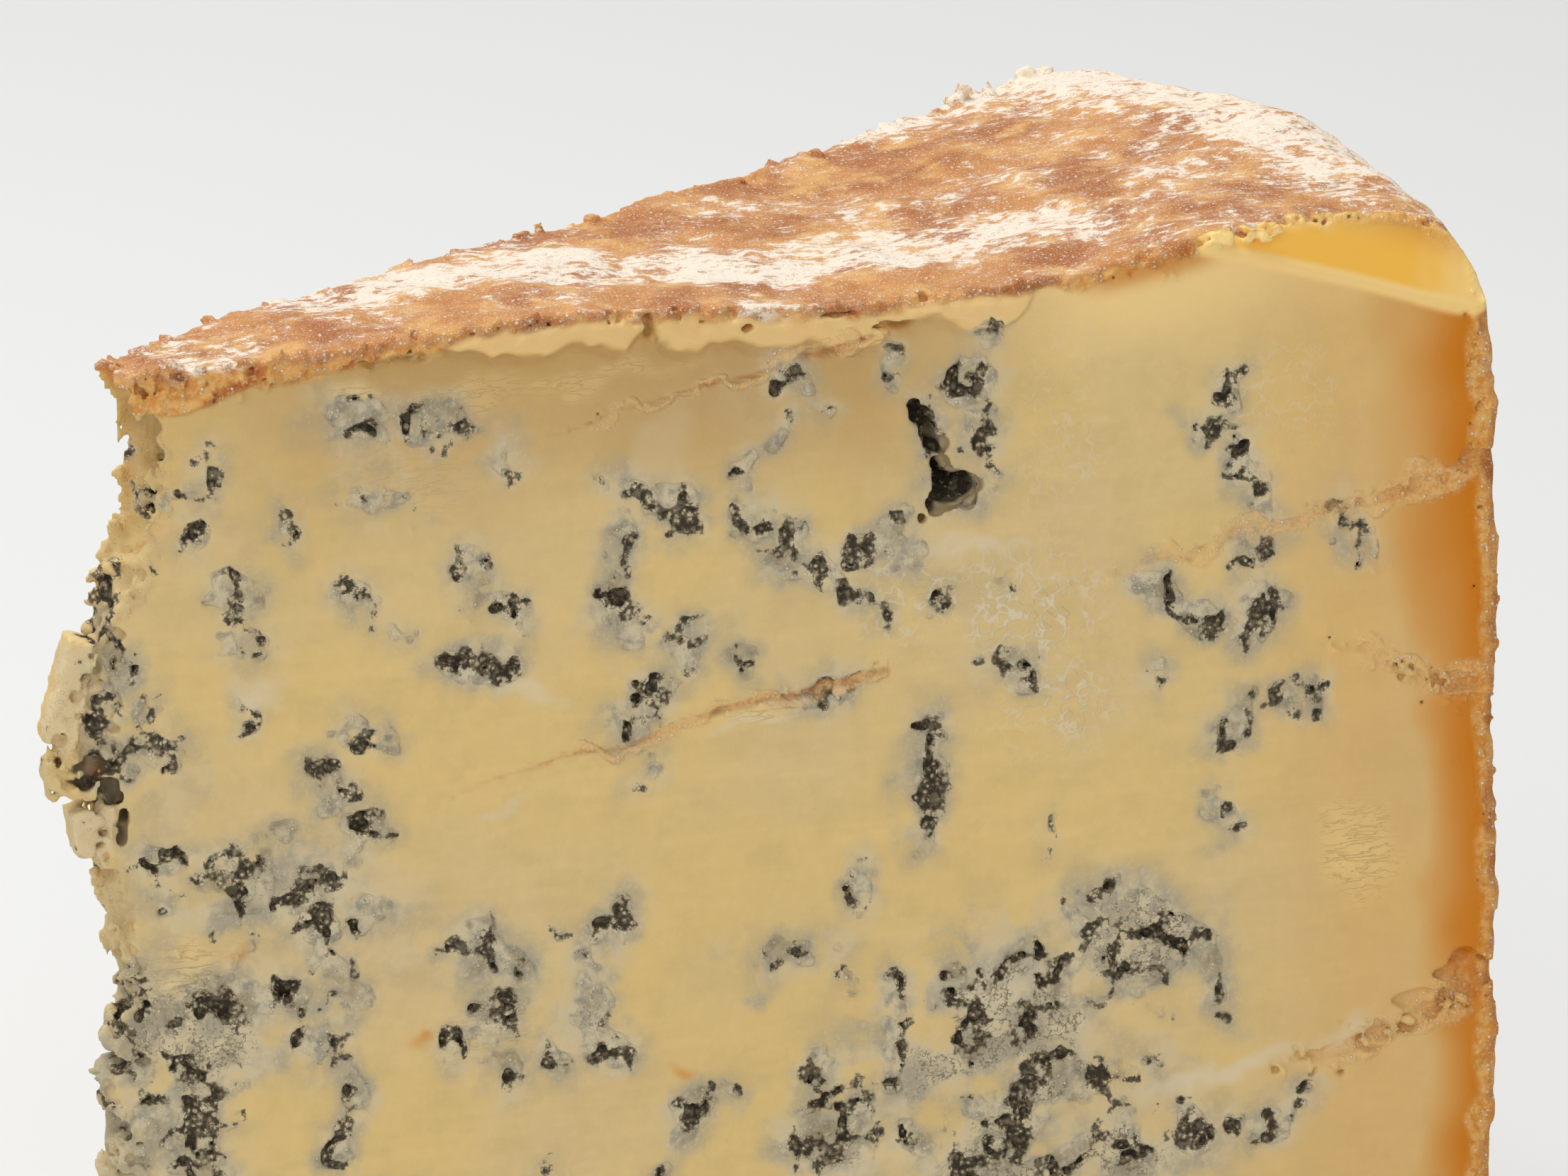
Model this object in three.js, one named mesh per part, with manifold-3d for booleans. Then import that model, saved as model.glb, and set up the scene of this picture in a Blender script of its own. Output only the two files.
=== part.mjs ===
// A wedge of blue-veined cheese, cut from a tall drum: two knife-cut faces that meet at a crumbled tip,
// the old rind on top and round the outside, and a level cut underneath. The cheese is one solid piece,
// because the rind has grown as one with the paste inside it.
//
// Millimetres, +Z up. The wedge stands on its lower cut. The tip points to -X, the rind is at +X, and
// the front cut face looks along -Y. The origin is the middle of the bounding box, at the base.
//
// The wedge is built about the drum's own axis, which is where the two cut faces would meet, and is
// moved to its origin at the end.

import * as THREE from 'three';
import { mergeVertices } from 'three/addons/utils/BufferGeometryUtils.js';
import Module from 'manifold-3d';

const wasm = await Module();
wasm.setup();

// ---- Driving dimensions -------------------------------------------------------------------------

const DRUM_RADIUS = 102; // from the drum's axis to the rind, at the foot of the wedge
const WEDGE_HEIGHT = 90; // from the lower cut to the top rind
const WEDGE_ANGLE = THREE.MathUtils.degToRad(28.3); // between the two knife cuts

const SIDE_BULGE = 1.5; // how far the side rind swells out between the base and the shoulder
const SHOULDER_WIDTH = 5; // how far in from the side the top rind starts to turn down
const SHOULDER_DROP = 6; // how far down the side the turn ends
const TOP_LUMPS = 0.3; // height of the small lumps on the top rind
const SIDE_LUMPS = 0.5; // height of the humps on the side rind

// The broad humps of the top rind: where each is from the drum's axis, its spread and its height.
const TOP_HUMPS = [
  { x: 20, y: 4, spread: 6, rise: 0.3 },
  { x: 37, y: 3, spread: 9, rise: 1.4 },
  { x: 87, y: 0, spread: 10, rise: 2.4 },
  { x: 97, y: 14, spread: 8, rise: 1.0 },
  { x: 93, y: 30, spread: 13, rise: 3.0 },
];

// The drum isn't quite round: it swells out at one place between the cuts.
const RIM_SWELL = { y: 27, spread: 14, out: 1.8 };

// The broken tip: how much of the sharp edge is gone, at each depth below the top rind.
const TIP_LOSS = [
  { below: 3, lost: 9.0 },
  { below: 10, lost: 10.0 },
  { below: 19, lost: 5.5 },
  { below: 26, lost: 3.5 },
  { below: 31, lost: 5.5 },
  { below: 43, lost: 8.5 },
  { below: 49, lost: 6.0 },
  { below: 58, lost: 7.5 },
  { below: 70, lost: 5.5 },
  { below: 80, lost: 7.5 },
];

// Crumbly hollows in the tip. Each is a rough ball: its depth below the top rind, its distance from
// the drum's axis, its radius, its stretch up and down, and the side of the tip that it eats into.
const TIP_HOLLOWS = [
  { below: 5.5, out: 9.0, radius: 2.4, tall: 2.0, side: 0.1 },
  { below: 28.5, out: 5.6, radius: 1.9, tall: 0.8, side: -0.2 },
  { below: 46, out: 7.2, radius: 2.6, tall: 1.4, side: 0.3 },
  { below: 66, out: 6.2, radius: 2.6, tall: 1.6, side: -0.1 },
];

// The deep open hole in the front face: a narrow neck that runs down into a wider pocket.
const HOLE = { fromRind: 37.5, below: 13.0, radius: 1.8, neckRadius: 0.9, neckLength: 6.5, depth: 6.0 };

// Rough creases that run in from the rind across the front face, along the tracks of the needles.
const CREASE_SLOPE = THREE.MathUtils.degToRad(11); // each falls this much towards the tip
const CREASE_HALF_WIDTH = 1.2;
const CREASE_DEPTH = 1.6;
const CREASES = [
  { below: 16, length: 24 },
  { below: 31, length: 9 },
  { below: 54, length: 24 },
];

// Where a knife has shaved the shoulder at the front corner.
const FACET = {
  fromRind: 8.5,
  length: 24,
  deep: 1.0,
  yaw: THREE.MathUtils.degToRad(8),
  tilt: THREE.MathUtils.degToRad(27),
};

// ---- Mesh fineness ------------------------------------------------------------------------------

const ANGLE_STEPS = 180; // round the whole drum
const TOP_RINGS = 20;
const SHOULDER_RINGS = 8;
const SIDE_RINGS = 22;
const CLEAR = 5; // how far a cutting block reaches past what it cuts
const SHORTEST_EDGE = 0.02;

// ---- Joining and cutting ------------------------------------------------------------------------

function toManifold(geometry) {
  const bare = geometry.clone();
  bare.deleteAttribute('normal');
  bare.deleteAttribute('uv');
  const merged = mergeVertices(bare);
  return new wasm.Manifold(new wasm.Mesh({
    numProp: 3,
    vertProperties: new Float32Array(merged.attributes.position.array),
    triVerts: new Uint32Array(merged.index.array),
  }));
}

// Cuts that nearly miss each other leave edges too short to matter. Each is drawn together into one
// point, and the triangles that this flattens are left out.
function withoutShortEdges(positions, triangles) {
  const standsFor = Array.from({ length: positions.length / 3 }, (_, i) => i);
  const find = (i) => {
    let found = i;
    while (standsFor[found] !== found) {
      found = standsFor[found];
    }
    return found;
  };
  const point = (i) => new THREE.Vector3().fromArray(positions, i * 3);
  for (let i = 0; i < triangles.length; i += 1) {
    const next = i % 3 === 2 ? i - 2 : i + 1;
    const a = find(triangles[i]);
    const b = find(triangles[next]);
    if (a !== b && point(a).distanceTo(point(b)) < SHORTEST_EDGE) {
      standsFor[Math.max(a, b)] = Math.min(a, b);
    }
  }
  const kept = [];
  for (let i = 0; i < triangles.length; i += 3) {
    const corners = [find(triangles[i]), find(triangles[i + 1]), find(triangles[i + 2])];
    if (new Set(corners).size === 3) {
      kept.push(...corners);
    }
  }
  return kept;
}

function toGeometry(manifold) {
  const { numProp, vertProperties, triVerts } = manifold.getMesh();
  const positions = new Float32Array((vertProperties.length / numProp) * 3);
  for (let i = 0; i < positions.length / 3; i += 1) {
    for (let axis = 0; axis < 3; axis += 1) {
      positions[i * 3 + axis] = vertProperties[i * numProp + axis];
    }
  }
  const geometry = new THREE.BufferGeometry();
  geometry.setAttribute('position', new THREE.BufferAttribute(positions, 3));
  geometry.setIndex(withoutShortEdges(positions, triVerts));
  return geometry;
}

// ---- The drum -----------------------------------------------------------------------------------

// Height of the top rind over a point on the top, above the level of the wedge's height.
function topRise(x, y) {
  let rise = TOP_LUMPS * (0.6 * Math.sin(x / 6.1 + y / 7.7 + 1.3) + 0.4 * Math.sin(x / 3.7 - y / 4.3));
  for (const hump of TOP_HUMPS) {
    const away = Math.hypot(x - hump.x, y - hump.y) / hump.spread;
    rise += hump.rise * Math.exp(-0.5 * away * away);
  }
  return rise;
}

// Swell of the side rind, in units of SIDE_LUMPS.
function sideHump(angle, z) {
  return 0.6 * Math.sin(z / 9.5 + 9 * angle) + 0.4 * Math.sin(z / 4.7 - 21 * angle + 0.8);
}

// The drum's outline from the centre of the base, out and up the side, over the shoulder and back in.
function drumProfile() {
  const points = [new THREE.Vector2(0, 0)];
  const sideTop = WEDGE_HEIGHT - SHOULDER_DROP;
  for (let i = 0; i <= SIDE_RINGS; i += 1) {
    const share = i / SIDE_RINGS;
    const swell = SIDE_BULGE * Math.sin(Math.PI * share);
    points.push(new THREE.Vector2(DRUM_RADIUS + swell, sideTop * share));
  }
  for (let i = 1; i <= SHOULDER_RINGS; i += 1) {
    const turn = (Math.PI / 2) * (i / SHOULDER_RINGS);
    points.push(new THREE.Vector2(
      DRUM_RADIUS - SHOULDER_WIDTH * (1 - Math.cos(turn)),
      sideTop + SHOULDER_DROP * Math.sin(turn),
    ));
  }
  const flat = DRUM_RADIUS - SHOULDER_WIDTH;
  for (let i = 1; i < TOP_RINGS; i += 1) {
    points.push(new THREE.Vector2(flat * (1 - i / TOP_RINGS), WEDGE_HEIGHT));
  }
  points.push(new THREE.Vector2(0, WEDGE_HEIGHT));
  return points;
}

// The whole drum with its humps. A LatheGeometry turns about Y, so it is stood up along Z.
function makeDrum() {
  const drum = new THREE.LatheGeometry(drumProfile(), ANGLE_STEPS);
  drum.rotateX(Math.PI / 2);
  const position = drum.attributes.position;
  for (let i = 0; i < position.count; i += 1) {
    const x = position.getX(i);
    const y = position.getY(i);
    const z = position.getZ(i);
    const radius = Math.hypot(x, y);
    const up = THREE.MathUtils.smoothstep(z, WEDGE_HEIGHT - SHOULDER_DROP, WEDGE_HEIGHT);
    const side = THREE.MathUtils.smoothstep(z, 0, CLEAR) * (1 - up);
    // The seam's two columns of points lie at the same place and have to stay together.
    const angle = Math.abs(Math.atan2(y, x));
    const fromSwell = (y - RIM_SWELL.y) / RIM_SWELL.spread;
    const swell = RIM_SWELL.out * Math.exp(-fromSwell * fromSwell) * Math.min(1, radius / DRUM_RADIUS) ** 4;
    const lump = side * SIDE_LUMPS * sideHump(angle, z);
    const outward = radius > 0 ? 1 + (lump + swell) / radius : 1;
    position.setXYZ(i, x * outward, y * outward, z + up * topRise(x, y));
  }
  return toManifold(drum);
}

// ---- The cuts -----------------------------------------------------------------------------------

// A block whose plan is the angle between the two knife cuts.
function makeKnifeCuts() {
  const reach = (DRUM_RADIUS + SIDE_BULGE + CLEAR) / Math.cos(WEDGE_ANGLE / 2);
  const plan = new THREE.Shape();
  plan.moveTo(0, 0);
  plan.lineTo(reach, 0);
  plan.lineTo(reach * Math.cos(WEDGE_ANGLE), reach * Math.sin(WEDGE_ANGLE));
  plan.closePath();
  const block = new THREE.ExtrudeGeometry(plan, {
    depth: WEDGE_HEIGHT + 2 * CLEAR,
    bevelEnabled: false,
  });
  block.translate(0, 0, -CLEAR);
  return toManifold(block);
}

// A block whose outline, seen from the side, is the broken line of the tip. It runs across the wedge,
// square to the line halfway between the two cuts.
function makeBrokenTip() {
  const outline = new THREE.Shape();
  const top = WEDGE_HEIGHT + CLEAR;
  const far = DRUM_RADIUS + SIDE_BULGE + 2 * CLEAR;
  outline.moveTo(far, top);
  outline.lineTo(TIP_LOSS[0].lost, top);
  for (const { below, lost } of TIP_LOSS) {
    outline.lineTo(lost, WEDGE_HEIGHT - below);
  }
  const last = TIP_LOSS[TIP_LOSS.length - 1];
  const foot = Math.min(-CLEAR, WEDGE_HEIGHT - last.below - CLEAR);
  outline.lineTo(last.lost, foot);
  outline.lineTo(far, foot);
  outline.closePath();
  const across = 2 * (DRUM_RADIUS + CLEAR);
  const block = new THREE.ExtrudeGeometry(outline, { depth: across, bevelEnabled: false });
  block.translate(0, 0, -across / 2);
  block.rotateX(Math.PI / 2);
  block.rotateZ(WEDGE_ANGLE / 2);
  return toManifold(block);
}

// A rough ball of radius 1: a sphere pushed in and out by a few waves.
function makeRoughBall(variant) {
  const ball = new THREE.IcosahedronGeometry(1, 4);
  const position = ball.attributes.position;
  const point = new THREE.Vector3();
  for (let i = 0; i < position.count; i += 1) {
    point.fromBufferAttribute(position, i);
    const wave = 0.16 * Math.sin(3.1 * point.x + 2 * variant) * Math.cos(2.7 * point.y - variant)
      + 0.1 * Math.sin(5.3 * point.z + 4.1 * point.x + variant);
    point.multiplyScalar(1 + wave);
    position.setXYZ(i, point.x, point.y, point.z);
  }
  return ball;
}

function makeTipHollow({ below, out, radius, tall, side }, index) {
  const hollow = makeRoughBall(index);
  hollow.scale(radius, radius, radius * tall);
  const angle = WEDGE_ANGLE * (0.5 + side);
  hollow.translate(
    (out - radius) * Math.cos(angle),
    (out - radius) * Math.sin(angle),
    WEDGE_HEIGHT - below,
  );
  return toManifold(hollow);
}

// The neck of the deep hole leans towards the tip, and its foot opens into the pocket.
function makeHole() {
  const x = DRUM_RADIUS - HOLE.fromRind;
  const z = WEDGE_HEIGHT - HOLE.below;
  const pocket = makeRoughBall(TIP_HOLLOWS.length);
  pocket.scale(HOLE.radius, HOLE.depth, HOLE.radius * 0.8);
  pocket.translate(x, 0, z);
  const neck = makeRoughBall(TIP_HOLLOWS.length + 1);
  neck.scale(HOLE.neckRadius, HOLE.depth * 0.4, HOLE.neckLength / 2);
  neck.rotateY(THREE.MathUtils.degToRad(-16));
  neck.translate(x - HOLE.neckLength * 0.2, 0, z + HOLE.neckLength * 0.45);
  return toManifold(pocket).add(toManifold(neck));
}

// A long groove with a V section, deepest at the rind and running out towards the tip. The section's x
// goes into the face, and it starts in front of the face.
function makeCrease({ below, length }) {
  const section = new THREE.Shape();
  section.moveTo(-CREASE_DEPTH, -2 * CREASE_HALF_WIDTH);
  section.lineTo(CREASE_DEPTH, 0);
  section.lineTo(-CREASE_DEPTH, 2 * CREASE_HALF_WIDTH);
  section.closePath();
  const groove = new THREE.ExtrudeGeometry(section, { depth: 1, steps: 8, bevelEnabled: false });
  const position = groove.attributes.position;
  for (let i = 0; i < position.count; i += 1) {
    const along = position.getZ(i); // 0 at the rind, 1 at the groove's tip
    const size = 1 - 0.9 * along;
    const wander = 0.5 * CREASE_HALF_WIDTH * Math.sin(9 * along + below);
    position.setXYZ(
      i,
      CLEAR - along * (length + CLEAR),
      position.getX(i) * size,
      wander - position.getY(i) * size,
    );
  }
  groove.rotateY(-CREASE_SLOPE);
  groove.translate(DRUM_RADIUS, 0, WEDGE_HEIGHT - below);
  return toManifold(groove);
}

// A slanting block that takes the front corner off the shoulder.
function makeFacet() {
  const block = new THREE.BoxGeometry(FACET.length, FACET.length, FACET.length);
  block.translate(0, -FACET.length / 2, 0);
  block.rotateZ(FACET.yaw);
  block.rotateX(-FACET.tilt);
  block.translate(DRUM_RADIUS - FACET.fromRind, FACET.deep, WEDGE_HEIGHT);
  return toManifold(block);
}

// ---- The wedge ----------------------------------------------------------------------------------

function makeWedge() {
  let wedge = makeDrum().intersect(makeKnifeCuts()).intersect(makeBrokenTip());
  for (const hollow of TIP_HOLLOWS.map(makeTipHollow)) {
    wedge = wedge.subtract(hollow);
  }
  for (const crease of CREASES.map(makeCrease)) {
    wedge = wedge.subtract(crease);
  }
  wedge = wedge.subtract(makeHole()).subtract(makeFacet());
  const geometry = toGeometry(wedge);
  geometry.computeBoundingBox();
  const { min, max } = geometry.boundingBox;
  geometry.translate(-(min.x + max.x) / 2, -(min.y + max.y) / 2, -min.z);
  return geometry;
}

const pasteAndRind = new THREE.MeshStandardMaterial({ color: '#cdac76', roughness: 0.62, metalness: 0 });

const cheese = new THREE.Group();
const wedge = new THREE.Mesh(makeWedge(), pasteAndRind);
wedge.name = 'cheese_wedge';
cheese.add(wedge);

export default cheese;
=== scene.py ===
"""The looks of a wedge of blue-veined cheese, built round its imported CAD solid.

The wedge is one closed mesh. It starts as a distance field on a grid of small cells, worked out from
the CAD solid's own corners: two cut faces, a lumpy rind, a crumbled tip and a level foot. Veins,
pockets, creases, crumbs and flakes are cut from the field or added to it, and the field is meshed.
The material then reads what was done at each point from colour attributes of the mesh.

Lengths inside the script are in millimetres. A place on a cut face is given as (t, d): t along the
face from the drum's axis, and d down from the top rind.
"""

import math

import bpy
import numpy as np
import openvdb
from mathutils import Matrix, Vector


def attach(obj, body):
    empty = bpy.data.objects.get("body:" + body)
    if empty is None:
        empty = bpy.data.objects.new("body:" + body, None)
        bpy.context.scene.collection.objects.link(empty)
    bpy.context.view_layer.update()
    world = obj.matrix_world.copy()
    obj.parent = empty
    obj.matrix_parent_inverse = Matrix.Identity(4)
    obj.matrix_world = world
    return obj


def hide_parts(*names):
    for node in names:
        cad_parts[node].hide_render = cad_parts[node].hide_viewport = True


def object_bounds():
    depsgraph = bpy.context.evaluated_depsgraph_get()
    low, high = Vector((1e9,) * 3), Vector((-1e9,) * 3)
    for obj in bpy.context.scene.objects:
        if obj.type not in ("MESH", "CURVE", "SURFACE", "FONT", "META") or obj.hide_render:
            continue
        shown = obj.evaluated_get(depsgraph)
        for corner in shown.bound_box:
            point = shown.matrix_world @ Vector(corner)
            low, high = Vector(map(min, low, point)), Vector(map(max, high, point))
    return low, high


MM = 0.001
NODE = "cheese_wedge"

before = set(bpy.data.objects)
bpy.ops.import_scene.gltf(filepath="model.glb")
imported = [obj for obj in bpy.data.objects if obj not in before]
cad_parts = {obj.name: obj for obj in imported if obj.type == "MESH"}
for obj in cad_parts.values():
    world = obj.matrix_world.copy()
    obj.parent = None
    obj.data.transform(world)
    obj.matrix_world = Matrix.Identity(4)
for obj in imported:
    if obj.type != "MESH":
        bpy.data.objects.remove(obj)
cad_low, cad_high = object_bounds()

# ---- Sizes --------------------------------------------------------------------------------------

CELL = 0.24  # of the grid
MARGIN = 1.6  # of empty grid round the wedge

SHOULDER = 5.3  # radius of the turn from the top rind to the side
SIDE_BULGE = 1.5
TOP_RISE = 3.47  # how far the CAD solid's highest hump stands above the level of its top

# Camera and view
AZIMUTH = -18.0
ELEVATION = 18.0
AIM = (52.9, 18.9)  # the point of the front face in the middle of the view
VIEW_WIDTH = 103.6  # of what the camera sees at that point
DISTANCE = 800.0

# How many small blocks are cut or added
STRIP_CHIPS = 70
TIP_CHIPS = 420
TIP_EDGE_CHIPS = 200
CRUST_GRAINS = 560
FAR_EDGE_CRUMBS = 150
SIDE_EDGE_CHIPS = 300
FACET_CHIPS = 220
WIDE_CREASE_CHIPS, CREASE_CHIPS = 130, 60
VEIN_GRANULES = 420

CHIP_RAGGED = 0.5  # how uneven a small block's sides are, as a share of its size
UV_SHEET = 216  # side of the square that the unwrapped surface is laid out on

rng = np.random.default_rng(7)


# ---- The frame's corners ------------------------------------------------------------------------


def read_plan():
    """The drum's axis, its radius and the angle between the cuts, from the corners of the foot."""
    points = np.array([v.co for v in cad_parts[NODE].data.vertices], float) / MM
    foot = points[points[:, 2] < points[:, 2].min() + 0.01]
    front = foot[foot[:, 1] < foot[:, 1].min() + 0.01]
    near = front[front[:, 0].argmax()]
    far = foot[foot[:, 1].argmax()]
    angle = 2 * math.atan2(near[0] - far[0], far[1] - near[1])
    radius = (far[1] - near[1]) / math.sin(angle)
    return near[0] - radius, near[1], radius, angle


AXIS_X, AXIS_Y, RADIUS, ANGLE = read_plan()
TOP = cad_high.z / MM - TOP_RISE


class Face:
    """A cut face: its direction from the drum's axis, and its outward normal."""

    def __init__(self, along, normal):
        self.along = np.array(along)
        self.normal = np.array(normal)

    def point(self, t, d, inward=0.0):
        """The place t along the face, d below the top and inward from it. Takes arrays too."""
        t, d, inward = (np.asarray(x, float)[..., None] for x in (t, d, inward))
        start = np.array((AXIS_X, AXIS_Y, TOP))
        return start + t * self.along - d * np.array((0, 0, 1.0)) - inward * self.normal


FRONT = Face((1.0, 0.0, 0.0), (0.0, -1.0, 0.0))
BACK = Face((math.cos(ANGLE), math.sin(ANGLE), 0.0), (-math.sin(ANGLE), math.cos(ANGLE), 0.0))


# ---- Noise --------------------------------------------------------------------------------------

LATTICE_SIDE = 64
LATTICE = rng.uniform(-1, 1, (LATTICE_SIDE,) * 3).astype(np.float32)


def lattice_steps(values, cell, shift):
    """The lattice numbers on either side of each value, and the smoothed share of the way across."""
    place = values / cell + shift
    low = np.floor(place)
    share = (place - low).astype(np.float32)
    share = share * share * (3 - 2 * share)
    low = low.astype(np.int32) % LATTICE_SIDE
    return low, (low + 1) % LATTICE_SIDE, share


def shifts(seed):
    return 13.7 * seed + 0.31, 29.3 * seed + 0.57, 7.9 * seed + 0.83


class Noise:
    """Smooth noise from -1 to 1. Each cell size and seed is worked out once."""

    def __init__(self, places):
        self.places = places
        self.known = {}

    def __call__(self, cell, seed):
        if (cell, seed) not in self.known:
            self.known[cell, seed] = self.work_out(cell, seed)
        return self.known[cell, seed]


class GridNoise(Noise):
    """Noise on a whole grid, given by its three axes."""

    def work_out(self, cell, seed):
        field = LATTICE
        for axis in (2, 1, 0):
            low, high, share = lattice_steps(self.places[axis], cell, shifts(seed)[axis])
            shape = [1, 1, 1]
            shape[axis] = len(share)
            share = share.reshape(shape)
            field = np.take(field, low, axis) * (1 - share) + np.take(field, high, axis) * share
        return field


class PointNoise(Noise):
    """The same noise at scattered points."""

    def work_out(self, cell, seed):
        lows, highs, shares = [], [], []
        for axis in range(3):
            low, high, share = lattice_steps(self.places[:, axis], cell, shifts(seed)[axis])
            lows.append(low)
            highs.append(high)
            shares.append(share)
        total = np.zeros(len(self.places), np.float32)
        for corner in range(8):
            use_high = [(corner >> axis) & 1 for axis in range(3)]
            index = [highs[a] if use_high[a] else lows[a] for a in range(3)]
            weight = np.ones(len(self.places), np.float32)
            for a in range(3):
                weight = weight * (shares[a] if use_high[a] else 1 - shares[a])
            total += LATTICE[index[0], index[1], index[2]] * weight
        return total


def smooth(low, high, x):
    share = np.clip((x - low) / (high - low), 0, 1)
    return share * share * (3 - 2 * share)


# ---- The wedge's outline ------------------------------------------------------------------------

# How much of the tip's sharp edge is gone, as (depth below the top, loss).
TIP_LOSS = [
    (0, 8.4), (2.2, 8.4), (3, 9.6), (9, 10), (15, 7), (19, 5), (25, 3.2), (28.2, 3.4), (29, 5.6), (33, 6),
    (40, 7.6), (44, 8.2), (46.5, 6.6), (47.3, 8), (48.2, 5.6), (53, 7), (58, 8), (66, 6.5), (70, 5.5),
    (80, 7.5), (92, 6.5),
]

# Where the broken tip is hollowed between its two edges, as (depth below the top, depth of hollow).
TIP_BOW = [(1, 0), (3, 2.2), (8, 2.2), (13, 0.9), (16, 0.3), (26, 0.2), (40, 0.5), (60, 0.2), (90, 0.4)]

# Low humps of the top: (place along x, place along y, spread, height).
TOP_HUMPS = [
    (20, 4, 6, 0.3),
    (37, 3, 9, 1.3),
    (87, 0, 10, 2.5),
    (97, 14, 8, 1.1),
    (93, 30, 13, 3.1),
    (60, 20, 8, -0.2),
]

# Where the drum isn't quite round, as (place along y, spread, how far out).
RIM_SWELL = (27, 14, 1.8)
SIDE_WORN = 0.75  # how far the lumpy side lies inside the CAD solid's smooth one


def top_height(u, v):
    """The level of the top rind, u and v away from the drum's axis along x and y."""
    height = np.float32(TOP)
    for at_u, at_v, spread, rise in TOP_HUMPS:
        height = height + rise * np.exp(-((u - at_u) ** 2 + (v - at_v) ** 2) / (2 * spread**2))
    return height


def outline(x, y, z, noise):
    """The signed distances, negative inside, to the rind, the two cuts, the foot and the broken tip."""
    u, v = x - AXIS_X, y - AXIS_Y
    slow, mid, fine = noise(9.0, 1), noise(3.1, 2), noise(1.25, 3)
    lumps = 0.45 * slow + 0.34 * mid + 0.16 * fine

    rise = np.clip(z / (TOP - SHOULDER), 0, 1)
    at_v, spread, out = RIM_SWELL
    swell = SIDE_BULGE * np.sin(np.pi * rise) + out * np.exp(-(((v - at_v) / spread) ** 2))
    side = np.hypot(u, v) - RADIUS + SIDE_WORN - swell
    top = z - top_height(u, v)
    over_top, over_side = top + SHOULDER, side + SHOULDER
    rind = np.minimum(np.maximum(over_top, over_side), 0) - SHOULDER
    rind = rind + np.hypot(np.maximum(over_top, 0), np.maximum(over_side, 0)) + lumps

    wave = 0.1 * slow + 0.05 * mid
    front = wave - v
    back = wave + math.cos(ANGLE) * v - math.sin(ANGLE) * u
    foot = 0.15 * (mid + fine) * smooth(0, 1.5, z) - z
    along = math.cos(ANGLE / 2) * u + math.sin(ANGLE / 2) * v
    across = math.cos(ANGLE / 2) * v - math.sin(ANGLE / 2) * u
    lost = np.interp(TOP - z, *zip(*TIP_LOSS))
    bow = np.interp(TOP - z, *zip(*TIP_BOW)) * np.clip(1 - (across / 2.2) ** 2, -0.5, 1)
    tip = lost + bow - along + 0.9 * mid + 0.8 * fine + 0.4 * slow
    tip = tip + 0.6 * noise(0.75, 5) + 0.3 * noise(0.5, 29)
    return {"rind": rind, "side": side, "top": top, "front": front, "back": back, "foot": foot, "tip": tip}


# ---- What shows on the front face ----------------------------------------------------------------

MAP_STEP = 0.25
MAP_T = np.arange(0, 104, MAP_STEP)
MAP_D = np.arange(-6, 94, MAP_STEP)

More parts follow.
